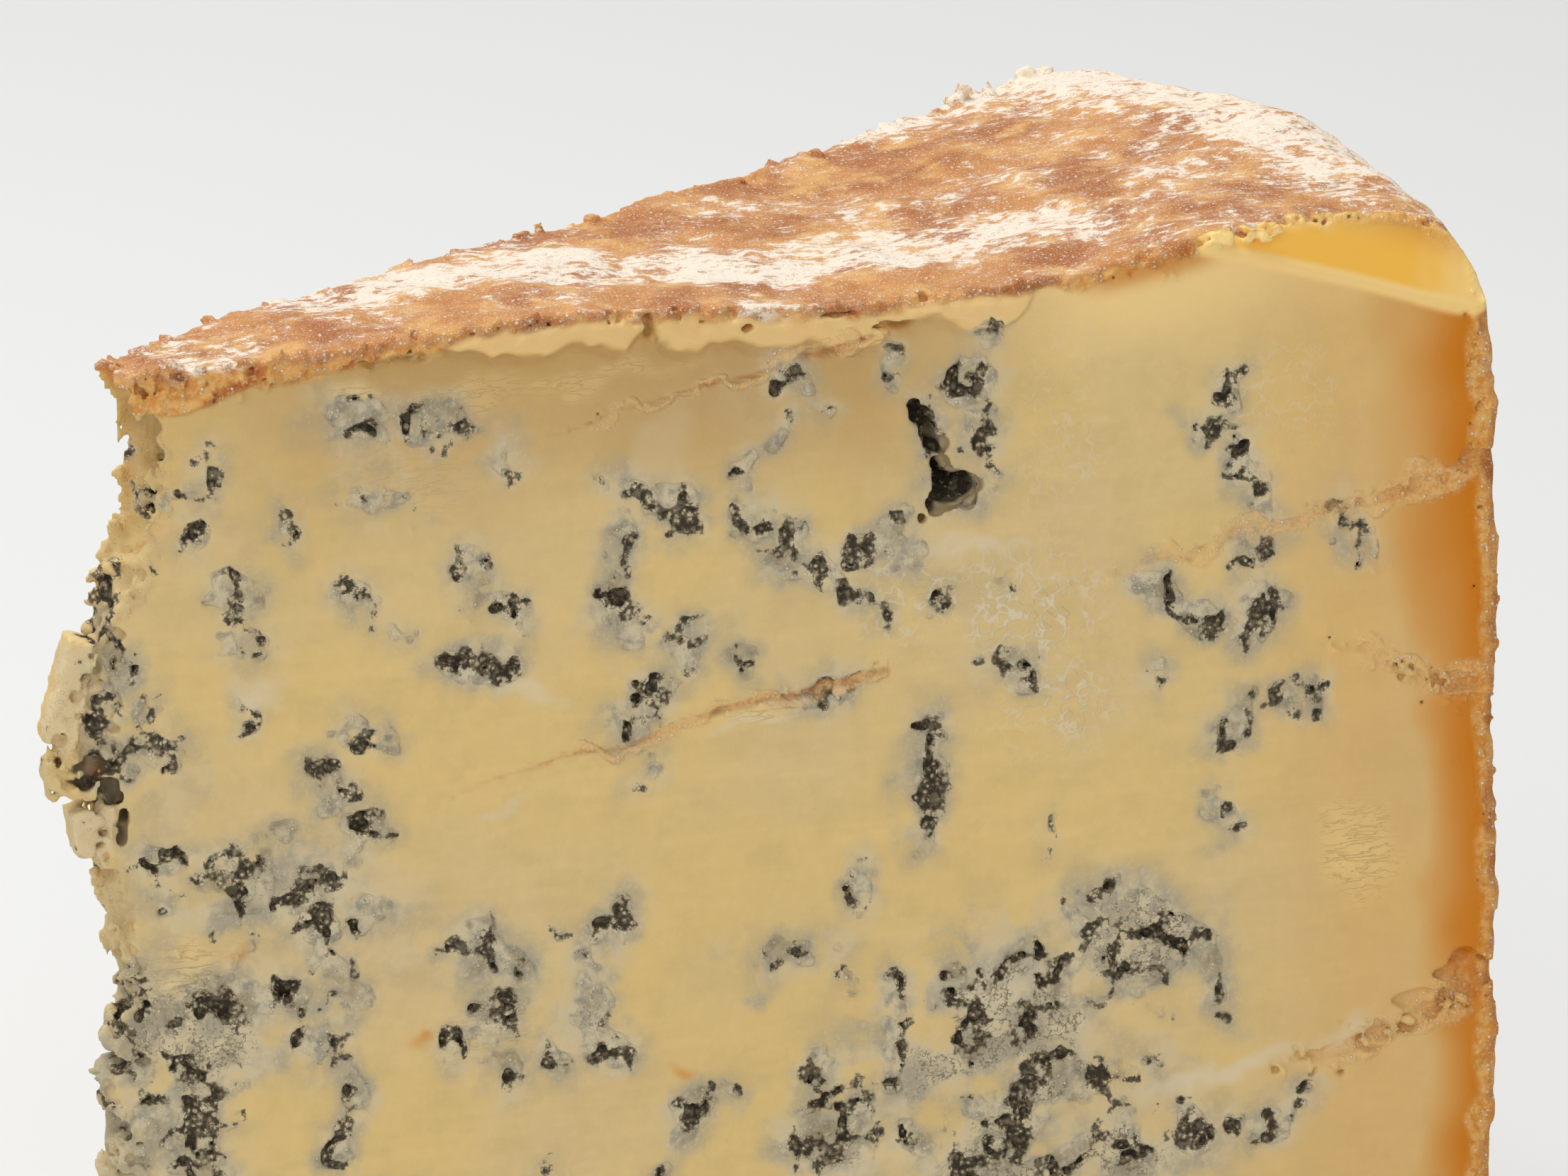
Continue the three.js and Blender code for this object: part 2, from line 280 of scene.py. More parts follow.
# Clusters of veins: (t, d, half length, half width, tilt down to the rind in degrees, strength).
VEINS = [
    (23.5, 4.6, 3, 2.4, 10, 0.9), (29, 5, 3.4, 1.6, 8, 0.8), (34, 8, 2.2, 0.8, 80, 0.7),
    (13.4, 8, 2.2, 0.7, 100, 0.6), (12.6, 11, 1.6, 0.8, 95, 0.6), (18.8, 11.2, 1.5, 0.8, 80, 0.6),
    (25.5, 10.8, 2.6, 0.9, 15, 0.6), (23.4, 16.6, 2, 1.2, 50, 0.7), (26.3, 19, 1, 0.7, 60, 0.5),
    (15.4, 16.2, 2.2, 1.6, 80, 0.7), (16.2, 19.4, 2.4, 1.1, 10, 0.6), (31.5, 16.2, 2.4, 1.3, 70, 0.7),
    (34, 19, 1.5, 1, 40, 0.7), (41.6, 15, 2.4, 0.9, 95, 0.9), (41.2, 19, 2.2, 1.7, 60, 1),
    (43, 20.6, 1.2, 0.8, 40, 0.8), (42, 10.5, 1.4, 0.9, 30, 0.8), (45, 12.7, 2.6, 1.2, 50, 0.9),
    (53.4, 4.5, 1.6, 0.7, 10, 0.8), (55.2, 6.4, 1.2, 0.5, 80, 0.6), (52.4, 8.4, 1.6, 0.6, 130, 0.7),
    (50.2, 10.6, 1.8, 0.7, 110, 0.7), (51, 13.8, 1.4, 1, 20, 0.8), (53.4, 16.8, 2.8, 0.9, 60, 0.9),
    (56.4, 18.6, 2.6, 0.8, 45, 0.9), (58.6, 16.4, 3, 0.8, 160, 0.8), (61, 17.2, 2.6, 0.8, 20, 0.8),
    (59.6, 21, 1.4, 0.7, 60, 0.6), (64.2, 20.6, 1.6, 0.7, 150, 0.5), (67.5, 20, 1.6, 0.6, 100, 0.3),
    (66.6, 3, 1, 0.8, 30, 0.7), (60.4, 4.6, 1.2, 0.7, 60, 0.6), (66, 6.2, 1.8, 1.2, 140, 0.8),
    (66.6, 9, 1.6, 1.2, 100, 0.8), (67, 12.6, 1.4, 0.8, 90, 0.6), (84.4, 8.6, 2.2, 0.8, 100, 0.8),
    (82.6, 10.8, 1.4, 0.8, 20, 0.8), (85, 13.6, 2.4, 1.2, 80, 0.9), (86.6, 16.4, 1.8, 0.8, 40, 0.7),
    (92.8, 17.6, 2, 0.9, 70, 0.5), (94, 20, 1.6, 1, 100, 0.4), (86.2, 19.6, 2.6, 0.8, 150, 0.7),
    (79.4, 21.6, 2, 1.2, 40, 1), (82, 23.4, 2.2, 1, 20, 0.9), (86.2, 23.8, 2.4, 1.8, 70, 1),
    (79, 27.6, 1.4, 0.7, 70, 0.7), (67.6, 25.8, 1.6, 0.9, 150, 0.6), (70.2, 27, 1.4, 1, 30, 0.8),
    (84.8, 31.2, 1.8, 1.2, 120, 0.9), (88.6, 30.8, 1.4, 0.7, 20, 0.7), (90.6, 30.4, 1.4, 0.8, 80, 0.8),
    (63.2, 30.2, 1.8, 1.4, 95, 0.9), (63, 33.6, 2.4, 1.8, 80, 1), (62.6, 37, 1.6, 0.9, 100, 0.9),
    (83.8, 38.4, 1.4, 1, 60, 0.8), (83.6, 36.4, 1, 0.4, 120, 0.5), (71.2, 38.4, 2.6, 0.4, 95, 0.35),
    (57.8, 40.4, 2.2, 0.5, 100, 0.8), (31.2, 22, 3, 0.9, 2, 1), (46.6, 22.6, 1.8, 1.2, 100, 0.9),
    (44.2, 25, 1.6, 1, 140, 0.8), (42.6, 27, 1.8, 1, 150, 0.8), (50.4, 24.2, 1, 0.8, 60, 0.7),
    (56, 26, 2.6, 0.9, 165, 0.9), (43.2, 30.4, 1.6, 0.6, 130, 0.6), (23.8, 26.2, 1.6, 0.8, 40, 0.6),
    (25.8, 27, 1.2, 0.7, 50, 0.6), (16.3, 24.2, 1.4, 0.8, 80, 0.7), (21.4, 28.4, 1.6, 1.2, 60, 0.8),
    (21.8, 31, 1.2, 1, 100, 0.8), (9.6, 26, 3, 1, 20, 0.7), (9.4, 22.6, 1.6, 0.9, 70, 0.5),
    (10, 33, 2.4, 1.2, 10, 0.7), (14.2, 34, 2.4, 0.9, 170, 0.7), (18.4, 33, 2, 0.8, 170, 0.6),
    (23.8, 33.4, 2.4, 1.2, 140, 0.8), (20, 36.8, 2.6, 1.2, 150, 0.9), (20.6, 39.2, 2.2, 1.3, 10, 1),
    (24.6, 38.8, 1.6, 0.9, 80, 0.8), (15.2, 38.6, 2, 1.2, 40, 0.5), (17.6, 43.6, 2.4, 1.4, 20, 1),
    (14.6, 44.6, 2, 1.1, 60, 0.7), (21.6, 42, 2, 1, 60, 0.7), (22.6, 44.4, 1.4, 1, 40, 0.7),
    (31.2, 41.6, 1.8, 1.5, 40, 1), (33.8, 43, 2, 0.9, 30, 1), (32.6, 46.6, 2.8, 1.6, 80, 1),
    (30.6, 48.6, 1.8, 1, 20, 0.8), (33.4, 51.2, 1.4, 0.9, 60, 0.8), (40.8, 41, 2, 1.1, 130, 1),
    (39.2, 44, 2, 0.8, 100, 0.9), (39, 47, 2.2, 1.3, 80, 1), (40.6, 50.2, 2, 1, 20, 0.9),
    (36.8, 50.6, 1.4, 0.8, 60, 0.8), (37.2, 41.6, 1, 0.6, 10, 0.4), (52.8, 44.8, 1.5, 1, 120, 0.8),
    (56.8, 45.6, 1.8, 0.5, 60, 0.4), (60.4, 48.6, 2.6, 0.7, 95, 0.9), (60.6, 53, 2.6, 0.6, 85, 0.8),
    (58, 57.2, 3.2, 1, 120, 1), (55.2, 53.6, 2.2, 0.9, 100, 0.9), (54.6, 58, 2.2, 1, 170, 1),
    (62.4, 59, 2, 1, 60, 0.8), (68.4, 48, 2.4, 1, 150, 0.9), (65, 47, 1.6, 0.8, 30, 0.6),
    (71, 46.6, 1.6, 0.8, 20, 0.7), (70.6, 51.8, 2, 1.2, 140, 0.95), (72.4, 54.6, 1.6, 1, 70, 0.95),
    (67, 56.8, 1.8, 0.9, 30, 0.8), (70.8, 58.6, 1.8, 0.9, 110, 0.8), (74, 45, 2, 0.8, 60, 0.8),
    (76.8, 43.4, 2.2, 1, 10, 0.8), (82.2, 46.8, 2.2, 1, 80, 0.9), (83.6, 50.4, 2.6, 0.9, 70, 0.9),
    (78.8, 44.8, 1.6, 0.8, 60, 0.6), (79.6, 48.8, 1, 0.6, 30, 0.5), (46.2, 55.6, 2, 1.2, 120, 0.95),
    (48.4, 54.4, 1.6, 0.6, 150, 0.7), (44, 59, 1.4, 0.6, 120, 0.7), (82.2, 60.4, 2.4, 0.8, 85, 0.9),
    (88.6, 60, 2, 0.9, 140, 0.9), (77, 60.4, 1.4, 0.8, 80, 0.8), (85.4, 60.8, 1.2, 0.7, 20, 0.7),
    (20, 47.6, 2.2, 1.2, 30, 0.9), (22.8, 50.4, 2.2, 1.1, 80, 0.9), (22.4, 54.4, 2.4, 1.1, 100, 0.9),
    (10, 42.6, 2.4, 1.2, 70, 0.6), (12.4, 47.6, 2.6, 1.2, 30, 0.6), (14.6, 50, 1.6, 0.6, 170, 0.7),
    (9.6, 51.6, 2, 1.4, 80, 0.7), (12, 55, 2.4, 1.2, 20, 0.8), (26, 58.8, 1.8, 0.8, 30, 0.6),
    (7.6, 46.8, 1.6, 1.4, 90, 0.6), (16, 59.6, 2.4, 1, 10, 0.8), (36.4, 57.4, 0.9, 0.4, 80, 0.3),
    (67.6, 60.4, 3.4, 0.9, 5, 0.9), (73.4, 61, 2.8, 0.8, 170, 0.9), (10.8, 36.2, 1.6, 0.9, 60, 0.5),
    (6.8, 21.5, 4.4, 0.8, 97, 0.9), (7.4, 26.4, 1.8, 1, 90, 0.8), (62.8, 9.4, 3.2, 1, 75, 0.8),
    (64.6, 13.6, 2.6, 1.5, 10, 0.85), (60.2, 16, 2.2, 0.9, 150, 0.8),
]

# Grey-blue stains with no cavity of their own: (t, d, half length, half width, tilt, strength).
STAINS = [
    (24.5, 8, 9, 4.5, 15, 0.35), (15, 13, 4, 7, 0, 0.25), (33, 8.5, 4.2, 4, 0, 0.2),
    (41.5, 17, 3.2, 5, 0, 0.3), (52, 17, 6, 4, 30, 0.3), (63, 21, 6, 4, 0, 0.3), (84, 12, 5, 6, 0, 0.28),
    (84, 23, 7, 4.5, 0, 0.32), (93, 19, 3, 3.5, 0, 0.5), (69.5, 53, 15, 11, 0, 1),
    (78, 46, 8.5, 5.5, 20, 0.9), (57, 57, 6, 7, 0, 0.85), (73, 61, 15, 5, 0, 1), (12, 46, 9, 10, 0, 0.85),
    (17, 36, 12, 4.5, 5, 0.75), (21, 47, 5, 7, 0, 0.6), (11, 29, 5, 7, 0, 0.35),
    (12.5, 53, 6.5, 8, 0, 0.75), (26, 40, 6, 6, 0, 0.35), (33, 45, 5, 6.5, 0, 0.3),
    (46.5, 23, 8, 4, 165, 0.3), (63.2, 33.6, 3, 5.6, 0, 0.35), (68.6, 26, 4, 2.4, 0, 0.55),
    (56.5, 44.8, 3.2, 2.2, 30, 0.45), (49, 44, 2, 1.4, 0, 0.3), (51, 5.5, 6, 4, 0, 0.2),
    (66, 8, 3.2, 6, 0, 0.35), (88, 31, 5, 2.2, 0, 0.3), (51.5, 47.5, 1.4, 1, 0, 0.5),
    (84, 60, 7, 3.4, 0, 0.4), (45, 57, 4, 4, 0, 0.3),
]

# Clean, yellow islands of curd that the blue hasn't reached: (t, d, half length, half width, tilt).
CURDS = [
    (31.2, 7.2, 1.4, 1.2, 0), (36.5, 12.6, 3.6, 3.2, 0), (27, 13.2, 2.4, 1.6, 0), (57.6, 9.6, 4, 3.4, 150),
    (47.6, 17.8, 3.4, 2.6, 0), (76.4, 53, 3.2, 2.6, 10), (64, 50.6, 2, 1.3, 0), (68.2, 55.2, 2, 1, 170),
    (79.6, 59.6, 1.4, 1.2, 0), (63.6, 57, 1.8, 0.9, 0), (71, 60.4, 1, 0.6, 0), (17.4, 53, 3.6, 3.8, 20),
    (18, 50, 1.6, 1, 0), (13.5, 39.8, 2, 1.6, 0), (74.6, 49.6, 2.2, 1.4, 0),
]

# Tracks that the needles left, now creases: points (t, d), half width, how deep, how far brown.
CREASES = [
    {
        "points": [(102, 14.6), (96, 16.4), (88, 17.8), (78, 19.8), (71, 21.0)],
        "wide": 0.6, "deep": 0.45, "brown": 0.22,
    },
    {
        "points": [(102, 30.6), (98, 30.2), (95.5, 28.0), (91, 26.4)],
        "wide": 0.7, "deep": 0.5, "brown": 0.2,
    },
    {
        "points": [(102, 52.5), (97, 54.6), (92, 56.0), (88, 56.6)],
        "wide": 1.0, "deep": 0.8, "brown": 0.25,
    },
    {
        "points": [(59, 2.2), (55.6, 3.1), (47, 4.6), (40, 5.9), (37, 6.6)],
        "wide": 0.24, "deep": 0.3, "brown": 1.0,
    },
    {
        "points": [(60, 25.4), (52, 26.4), (43, 28.4), (36, 29.6), (29, 31.2)],
        "wide": 0.34, "deep": 0.35, "brown": 1.0,
    },
]

# Small orange spots in the paste: (t, d, half length, half width, tilt, strength).
SPOTS = [
    (15.3, 40.6, 1.3, 1.1, 60, 0.5), (27.8, 48, 1.2, 1, 10, 0.6), (45.6, 52.4, 1.7, 0.8, 0, 0.5),
]

# Where the knife has smeared the paste over the crust's edge, as (along the face, height).
FLAP = [
    (28, 0), (30.5, 1.6), (33, 2.2), (36.4, 2.8), (38.9, 2), (42, 2.6), (43.2, 1.4), (43.7, 0.4), (44.4, 2),
    (48, 2.2), (53, 2.1), (56, 2.7), (59.5, 2.6), (60.5, 1.5), (63, 1.7), (66, 2.7), (69, 2.5), (70.4, 0.6),
    (71.5, 0),
]

# How far the crust reaches down the front face, as (along the face, height).
CRUST_EDGE = [
    (4, 2.6), (12, 2.7), (18, 2.1), (22, 1.5), (28, 1.5), (31, 0.5), (43, 0.5), (44, 1.2), (45, 0.5),
    (70, 0.5), (73, 1.1), (80, 0.9), (90, 0.6), (101, 0.5),
]

# Pale spider-web lines, horizontal tears and milky smears: (t, d, half length, half width, tilt, strength).
WEBS = [
    (70, 22, 6.5, 6, 0, 1), (72, 29, 5, 4.5, 0, 0.9), (88, 9, 6, 5, 0, 0.4), (36, 60, 6, 3, 0, 0.3),
    (62, 20, 5, 5, 0, 0.8), (72, 10, 4, 8, 0, 0.4),
]
TEARS = [
    (93.6, 41.5, 3.4, 4.4, 0, 1), (24, 2.4, 2.4, 1.2, 0, 0.9), (32, 3, 5, 1, 0, 0.6),
    (12, 41, 3, 2.5, 0, 1), (51, 27.6, 4, 0.8, -8, 0.8), (28, 9, 5, 3, 0, 0.4), (32, 48, 4, 3, 0, 0.5),
    (40, 3.4, 8, 0.8, -6, 0.6),
]
SMEARS = [
    (51, 27.9, 3.2, 0.35, -8, 0.9), (48.5, 28.6, 2, 0.3, -8, 0.7), (33, 32.2, 2.6, 0.5, -12, 0.5),
    (83.5, 56.6, 8, 1, -12, 0.8), (93, 54.6, 3.5, 1.6, -20, 0.6), (68, 49, 6, 3, 0, 0.5),
    (35, 24, 3.5, 0.7, 25, 0.7), (17, 22.5, 2.4, 1.2, 10, 0.7), (66, 17.6, 3.5, 0.8, -10, 0.7),
    (44.5, 8, 1.5, 4, 20, 0.25), (60, 60, 8, 2, 0, 0.4),
]


# ---- Maps of the front face ---------------------------------------------------------------------


def ellipse_map(rows, soft):
    """The strongest of the ellipses at each place, fading from soft to 1.25 of its size."""
    found = np.zeros((len(MAP_T), len(MAP_D)), np.float32)
    for t, d, long, wide, tilt, strength in rows:
        c, s = math.cos(math.radians(tilt)), math.sin(math.radians(tilt))
        dt, dd = MAP_T[:, None] - t, MAP_D[None, :] - d
        size = np.hypot((c * dt + s * dd) / long, (c * dd - s * dt) / wide)
        found = np.maximum(found, strength * smooth(1.25, soft, size))
    return found


def along_line(points, t, d):
    """How far each place is from a line through the points, and its share of the way along it."""
    nearest = np.full(np.broadcast(t, d).shape, 1e9, np.float32)
    share = np.zeros_like(nearest)
    legs = len(points) - 1
    for i, ((t0, d0), (t1, d1)) in enumerate(zip(points, points[1:])):
        length = math.hypot(t1 - t0, d1 - d0)
        along = np.clip(((t - t0) * (t1 - t0) + (d - d0) * (d1 - d0)) / length**2, 0, 1)
        gap = np.hypot(t - t0 - along * (t1 - t0), d - d0 - along * (d1 - d0))
        closer = gap < nearest
        nearest = np.where(closer, gap, nearest)
        share = np.where(closer, (i + along) / legs, share)
    return nearest, share


def crease_maps():
    """How deep the creases go, how brown they are and how pale and granular their banks are."""
    depth = np.zeros((len(MAP_T), len(MAP_D)), np.float32)
    brown, banks = np.zeros_like(depth), np.zeros_like(depth)
    for crease in CREASES:
        gap, share = along_line(crease["points"], MAP_T[:, None], MAP_D[None, :])
        reach = gap / (crease["wide"] * (1 - 0.6 * share))
        depth = np.maximum(depth, crease["deep"] * smooth(1.3, 0.3, reach) * (1 - 0.7 * share))
        brown = np.maximum(brown, crease["brown"] * smooth(1.6, 0.2, reach) * (1 - 0.7 * share**2))
        banks = np.maximum(banks, smooth(2.0, 0.9, reach) * smooth(1.0, 0.55, share))
    return depth, brown, banks


def sample(grid, t, d):
    """A map's value at places on the face."""
    i = np.clip((t - MAP_T[0]) / MAP_STEP, 0, len(MAP_T) - 1.001)
    j = np.clip((d - MAP_D[0]) / MAP_STEP, 0, len(MAP_D) - 1.001)
    i0, j0 = i.astype(np.int32), j.astype(np.int32)
    fi, fj = (i - i0).astype(np.float32), (j - j0).astype(np.float32)
    return (
        (grid[i0, j0] * (1 - fj) + grid[i0, j0 + 1] * fj) * (1 - fi)
        + (grid[i0 + 1, j0] * (1 - fj) + grid[i0 + 1, j0 + 1] * fj) * fi
    )


def grown(rows, more_long, more_wide, strength=1.0):
    return [(t, d, a + more_long, b + more_wide, tilt, strength * s) for t, d, a, b, tilt, s in rows]


vein_map = ellipse_map([(*row[:5], 0.35 + 0.65 * row[5]) for row in grown(VEINS, 0.45, 0.4)], 0.4)
halo_map = ellipse_map(grown(VEINS, 1.7, 1.6, 0.78), 0.15)
stain_map = ellipse_map(STAINS, 0.2)
curd_map = ellipse_map([(*row, 0.7) for row in CURDS], 0.4)
crease_depth_map, crease_brown_map, crease_bank_map = crease_maps()
web_map, tear_map, smear_map = ellipse_map(WEBS, 0.2), ellipse_map(TEARS, 0.2), ellipse_map(SMEARS, 0.2)
spot_map = ellipse_map(SPOTS, 0.2)


def warped(t, d, noise):
    """The place on the maps, shifted about so that nothing on them keeps a smooth outline."""
    t = t + 0.9 * noise(3.1, 22) + 0.6 * noise(1.25, 23) + 0.3 * noise(0.75, 5)
    d = d + 0.9 * noise(3.1, 24) + 0.6 * noise(1.25, 25) + 0.3 * noise(0.75, 39)
    return t, d


def slab_size(t, d):
    """How far a place is from the middle of the smooth slab on the tip: 1 at its edge."""
    return np.maximum(np.abs(t - 4.3 + 0.25 * (d - 21.4)) / 1.15, np.abs(d - 21.4) / 4.0)


def veins_at(x, y, z, parts, noise):
    """How the blue has grown at each place.

    "stain" is the pale, greyed paste round it, "growth" the crumbly mould, and "blot" is above 0 in
    the dark cavities. On the front face the maps say so. Further in, and on every other cut, the
    blue follows thin sheets through the paste.
    """
    slow, mid = noise(7.0, 21), noise(3.1, 26)
    t, d = warped(x - AXIS_X, TOP - z, noise)
    deep = smooth(2.5, 7.0, -parts["front"])
    inside = smooth(5, 12, np.minimum(-parts["side"], -parts["top"]))
    sheet = np.abs(slow + 0.3 * mid)
    patch = smooth(-0.15, 0.25, noise(4.2, 38)) * inside
    curd = sample(curd_map, t, d) * (1 - deep)
    marble = sample(stain_map, t, d)
    marbled = 0.9 * smooth(0.4, 0.8, marble) * smooth(-0.35, 0.2, noise(3.1, 40))
    core = np.maximum(sample(vein_map, t, d), marbled)
    core = (core * (1 - deep) + smooth(0.15, 0.02, sheet) * patch * deep) * (1 - curd)
    stain = np.maximum(sample(halo_map, t, d), marble * (1 - 0.6 * smooth(0.1, 0.4, noise(2.6, 37))))
    stain = (stain * (1 - deep) + 0.8 * smooth(0.4, 0.05, sheet) * patch * deep) * (1 - 0.85 * curd)

    # The broken tip is crumbly: blue has grown in its cracks, and more of it further down.
    broken = smooth(1.6, 0.3, -parts["tip"]) * smooth(1.5, 5, -parts["top"])
    low = smooth(34, 50, TOP - z)
    core = np.maximum(core, (0.72 + 0.12 * low) * broken * smooth(-0.3, 0.3, mid + 0.6 * noise(1.25, 27)))
    stain = np.maximum(stain, (0.2 + 0.5 * low) * broken)
    slab = np.maximum(smooth(1.15, 0.85, slab_size(t, d)), smooth(1.9, 1.4, np.hypot(t - 5.5, d - 30.9)))
    ragged = 0.45 * noise(0.75, 5) + 0.4 * noise(0.5, 29)
    line = 0.32 - 1.5 * np.abs(noise(1.9, 31))
    clean = smooth(0.3, 0.0, core)
    blot = core * (1 - slab) + line + ragged - 0.97 - 0.5 * clean
    growth = smooth(0.35, 0.9, core + 0.8 * ragged + 0.3 * noise(1.25, 28) - 0.5 * clean) * (1 - slab)
    return {"core": core, "stain": stain * (1 - 0.7 * slab), "growth": growth, "blot": blot}


# ---- The knife's facet ---------------------------------------------------------------------------

FACET_START = 81.0  # along the face
FACET_PLACE = (RADIUS - 8.5, 1.0, 0.0)  # a point of it, from the drum's axis and from the top's level
FACET_YAW, FACET_TILT = math.radians(8), math.radians(27)


def facet_distance(x, y, z):
    """Positive on the side of the facet's plane that the knife has taken away."""
    u, v, up = x - AXIS_X - FACET_PLACE[0], y - AXIS_Y - FACET_PLACE[1], z - TOP
    across = math.sin(FACET_YAW) * u - math.cos(FACET_YAW) * math.cos(FACET_TILT) * v
    return across + math.cos(FACET_YAW) * math.sin(FACET_TILT) * up


# ---- The grid -----------------------------------------------------------------------------------


def crust_edge(t, noise):
    """How far the crust reaches down the front face at each place, with a ragged edge."""
    return np.interp(t, *zip(*CRUST_EDGE)) + 0.4 * noise(1.25, 63) + 0.35 * noise(3.1, 64)


def flap_height(t, noise):
    """How far the smeared paste reaches down from the rind at each place."""
    height = np.interp(t, *zip(*FLAP))
    uneven = 0.3 * noise(1.25, 61) + 0.25 * noise(3.1, 62) + 0.2 * noise(0.75, 5)
    return height + uneven * smooth(0, 0.8, height)


def grid_axis(low, high):
    return np.arange(low / MM - MARGIN, high / MM + MARGIN, CELL)


class Field:
    """The wedge's distance field, with what is cut from it and added to it."""

    def __init__(self):
        self.axes = [grid_axis(cad_low[i], cad_high[i]) for i in range(3)]
        xs, ys, zs = self.axes
        self.solid = np.empty([len(axis) for axis in self.axes], np.float32)
        self.rough = np.empty_like(self.solid)
        for start in range(0, len(ys), 16):
            rows = slice(start, start + 16)
            noise = GridNoise((xs, ys[rows], zs))
            x, y, z = xs[:, None, None], ys[None, rows, None], zs[None, None, :]
            self.solid[:, rows] = self.cut_wedge(x, y, z, noise)
            self.rough[:, rows] = noise(0.75, 5)

    def cut_wedge(self, x, y, z, noise):
        parts = outline(x, y, z, noise)
        t, d = x - AXIS_X, TOP - z
        rough, under_rind = noise(0.75, 5), -parts["rind"]

        # The paste smeared over the crust's edge, and the crust's own granular edge.
        flap = flap_height(t, noise)
        proud = (0.45 + 0.25 * noise(5.0, 44)) * smooth(0.3, -0.5, under_rind - flap)
        proud = proud * smooth(0.15, 0.6, flap) * smooth(0.1, 1.1, under_rind)
        proud = proud - 0.2 * smooth(0.4, 0.1, np.abs(under_rind - flap - 0.4)) * smooth(0.3, 0.8, flap)
        edge = smooth(0.3, -0.3, under_rind - crust_edge(t, noise)) * smooth(70, 12, t)
        front = parts["front"] - proud - edge * (0.25 + 0.5 * rough + 0.3 * noise(1.25, 28))

        cut = np.maximum(front, parts["back"])
        band = smooth(1.6, 0.4, under_rind + 0.5 * noise(2.2, 6))
        cut = cut + band * (0.1 + 0.3 * rough)
        cut = np.maximum(cut, np.maximum(parts["foot"], parts["tip"]))
        solid = np.maximum(parts["rind"], cut)
        facet = np.where(t > FACET_START, facet_distance(x, y, z), -9.0)
        solid = np.maximum(solid, facet)

        found = veins_at(x, y, z, parts, noise)
        inward = -cut
        sunk = found["growth"] * (0.05 + 0.2 * rough + 0.16 * noise(0.5, 29)) - inward
        deepest = 0.22 + 0.45 * found["core"] + 0.45 * noise(2.6, 35) + 0.35 * noise(0.75, 39)
        opened = np.minimum(1.6 * found["blot"], deepest - inward)
        groove = sample(crease_depth_map, *np.broadcast_arrays(t, d + 0.35 * noise(3.1, 24)))
        groove = groove * (1.1 + 1.1 * rough) * smooth(3, 1, -parts["front"])
        solid = np.maximum(solid, np.maximum(sunk, np.maximum(opened, groove - inward)))
        return solid

    def window(self, centre, reach):
        """The cells within reach of a place, and their distances from it along each axis."""
        spans, gaps = [], []
        for i, axis in enumerate(self.axes):
            low = max(int((centre[i] - reach[i] - axis[0]) / CELL) - 1, 0)
            high = min(max(int((centre[i] + reach[i] - axis[0]) / CELL) + 3, 0), len(axis))
            spans.append(slice(low, high))
            gap = axis[low:high] - centre[i]
            gaps.append(gap.reshape([-1 if i == j else 1 for j in range(3)]))
        return tuple(spans), gaps

    def join(self, spans, shape, add):
        solid = self.solid[spans]
        if add:
            np.minimum(solid, shape, out=solid)
        else:
            np.maximum(solid, -shape, out=solid)

    def hollow(self, centre, radius, ragged, stretch):
        """Cuts a rough ball that is stretched along the axes."""
        reach = radius * (1 + ragged)
        spans, gaps = self.window(centre, [reach * s for s in stretch])
        far = sum((gap / s) ** 2 for gap, s in zip(gaps, stretch))
        ball = (np.sqrt(far) - radius * (1 + ragged * self.rough[spans])) * min(stretch)
        self.join(spans, ball, False)

    def chip(self, centre, size, add):
        """Adds or cuts a rough block with uneven sides, turned at random."""
        turn = np.linalg.qr(rng.normal(size=(3, 3)))[0]
        sides = size * rng.uniform(0.55, 1.15, 3)
        spans, gaps = self.window(centre, (1.6 * size,) * 3)
        turned = [np.abs(sum(turn[i, j] * gaps[j] for j in range(3))) - sides[i] for i in range(3)]
        block = np.maximum(np.maximum(turned[0], turned[1]), turned[2])
        self.join(spans, block - CHIP_RAGGED * size * self.rough[spans], add)

    def level_foot(self):
        """Nothing that was added may reach below the foot."""
        np.maximum(self.solid, -self.axes[2].astype(np.float32), out=self.solid)

    def mesh(self):
        """The zero surface as points in millimetres and quads, without loose specks."""
        grid = openvdb.FloatGrid(4.0)
        grid.copyFromArray(np.ascontiguousarray(self.solid), tolerance=0.0)
        points, quads = grid.convertToQuads(0.0)
        start = np.array([axis[0] for axis in self.axes])
        return largest_piece(np.asarray(points, float) * CELL + start, np.asarray(quads, np.int64))


def largest_piece(points, quads):
    """The points and quads of the largest connected piece."""
    parent = np.arange(len(points))
    while True:
        roots = parent[quads]
        lowest = roots.min(1)
        if (roots == lowest[:, None]).all():
            break
        np.minimum.at(parent, roots.ravel(), np.repeat(lowest, 4))
        while (parent[parent] != parent).any():
            parent = parent[parent]
    root = np.bincount(parent).argmax()
    kept = parent == root
    number = np.cumsum(kept) - 1
    return points[kept], number[quads[kept[quads[:, 0]]]]


field = Field()


# ---- What is cut and added one by one ------------------------------------------------------------


def tip_place(d, across, out):
    """A place on the broken tip: d below the top, across it from -1 at the front cut to 1 at the back."""
    lost = float(np.interp(d, *zip(*TIP_LOSS))) - out
    side = across * lost * math.tan(ANGLE / 2)
    c, s = math.cos(ANGLE / 2), math.sin(ANGLE / 2)
    return np.array((AXIS_X + c * lost - s * side, AXIS_Y + s * lost + c * side, TOP - d))


def top_place(face, t, below, inward=0.0):
    """A place on a cut face, measured down from the top rind at its edge."""
    u, v = t * face.along[0], t * face.along[1]
    return face.point(t, TOP - float(top_height(u, v)) + below, inward)


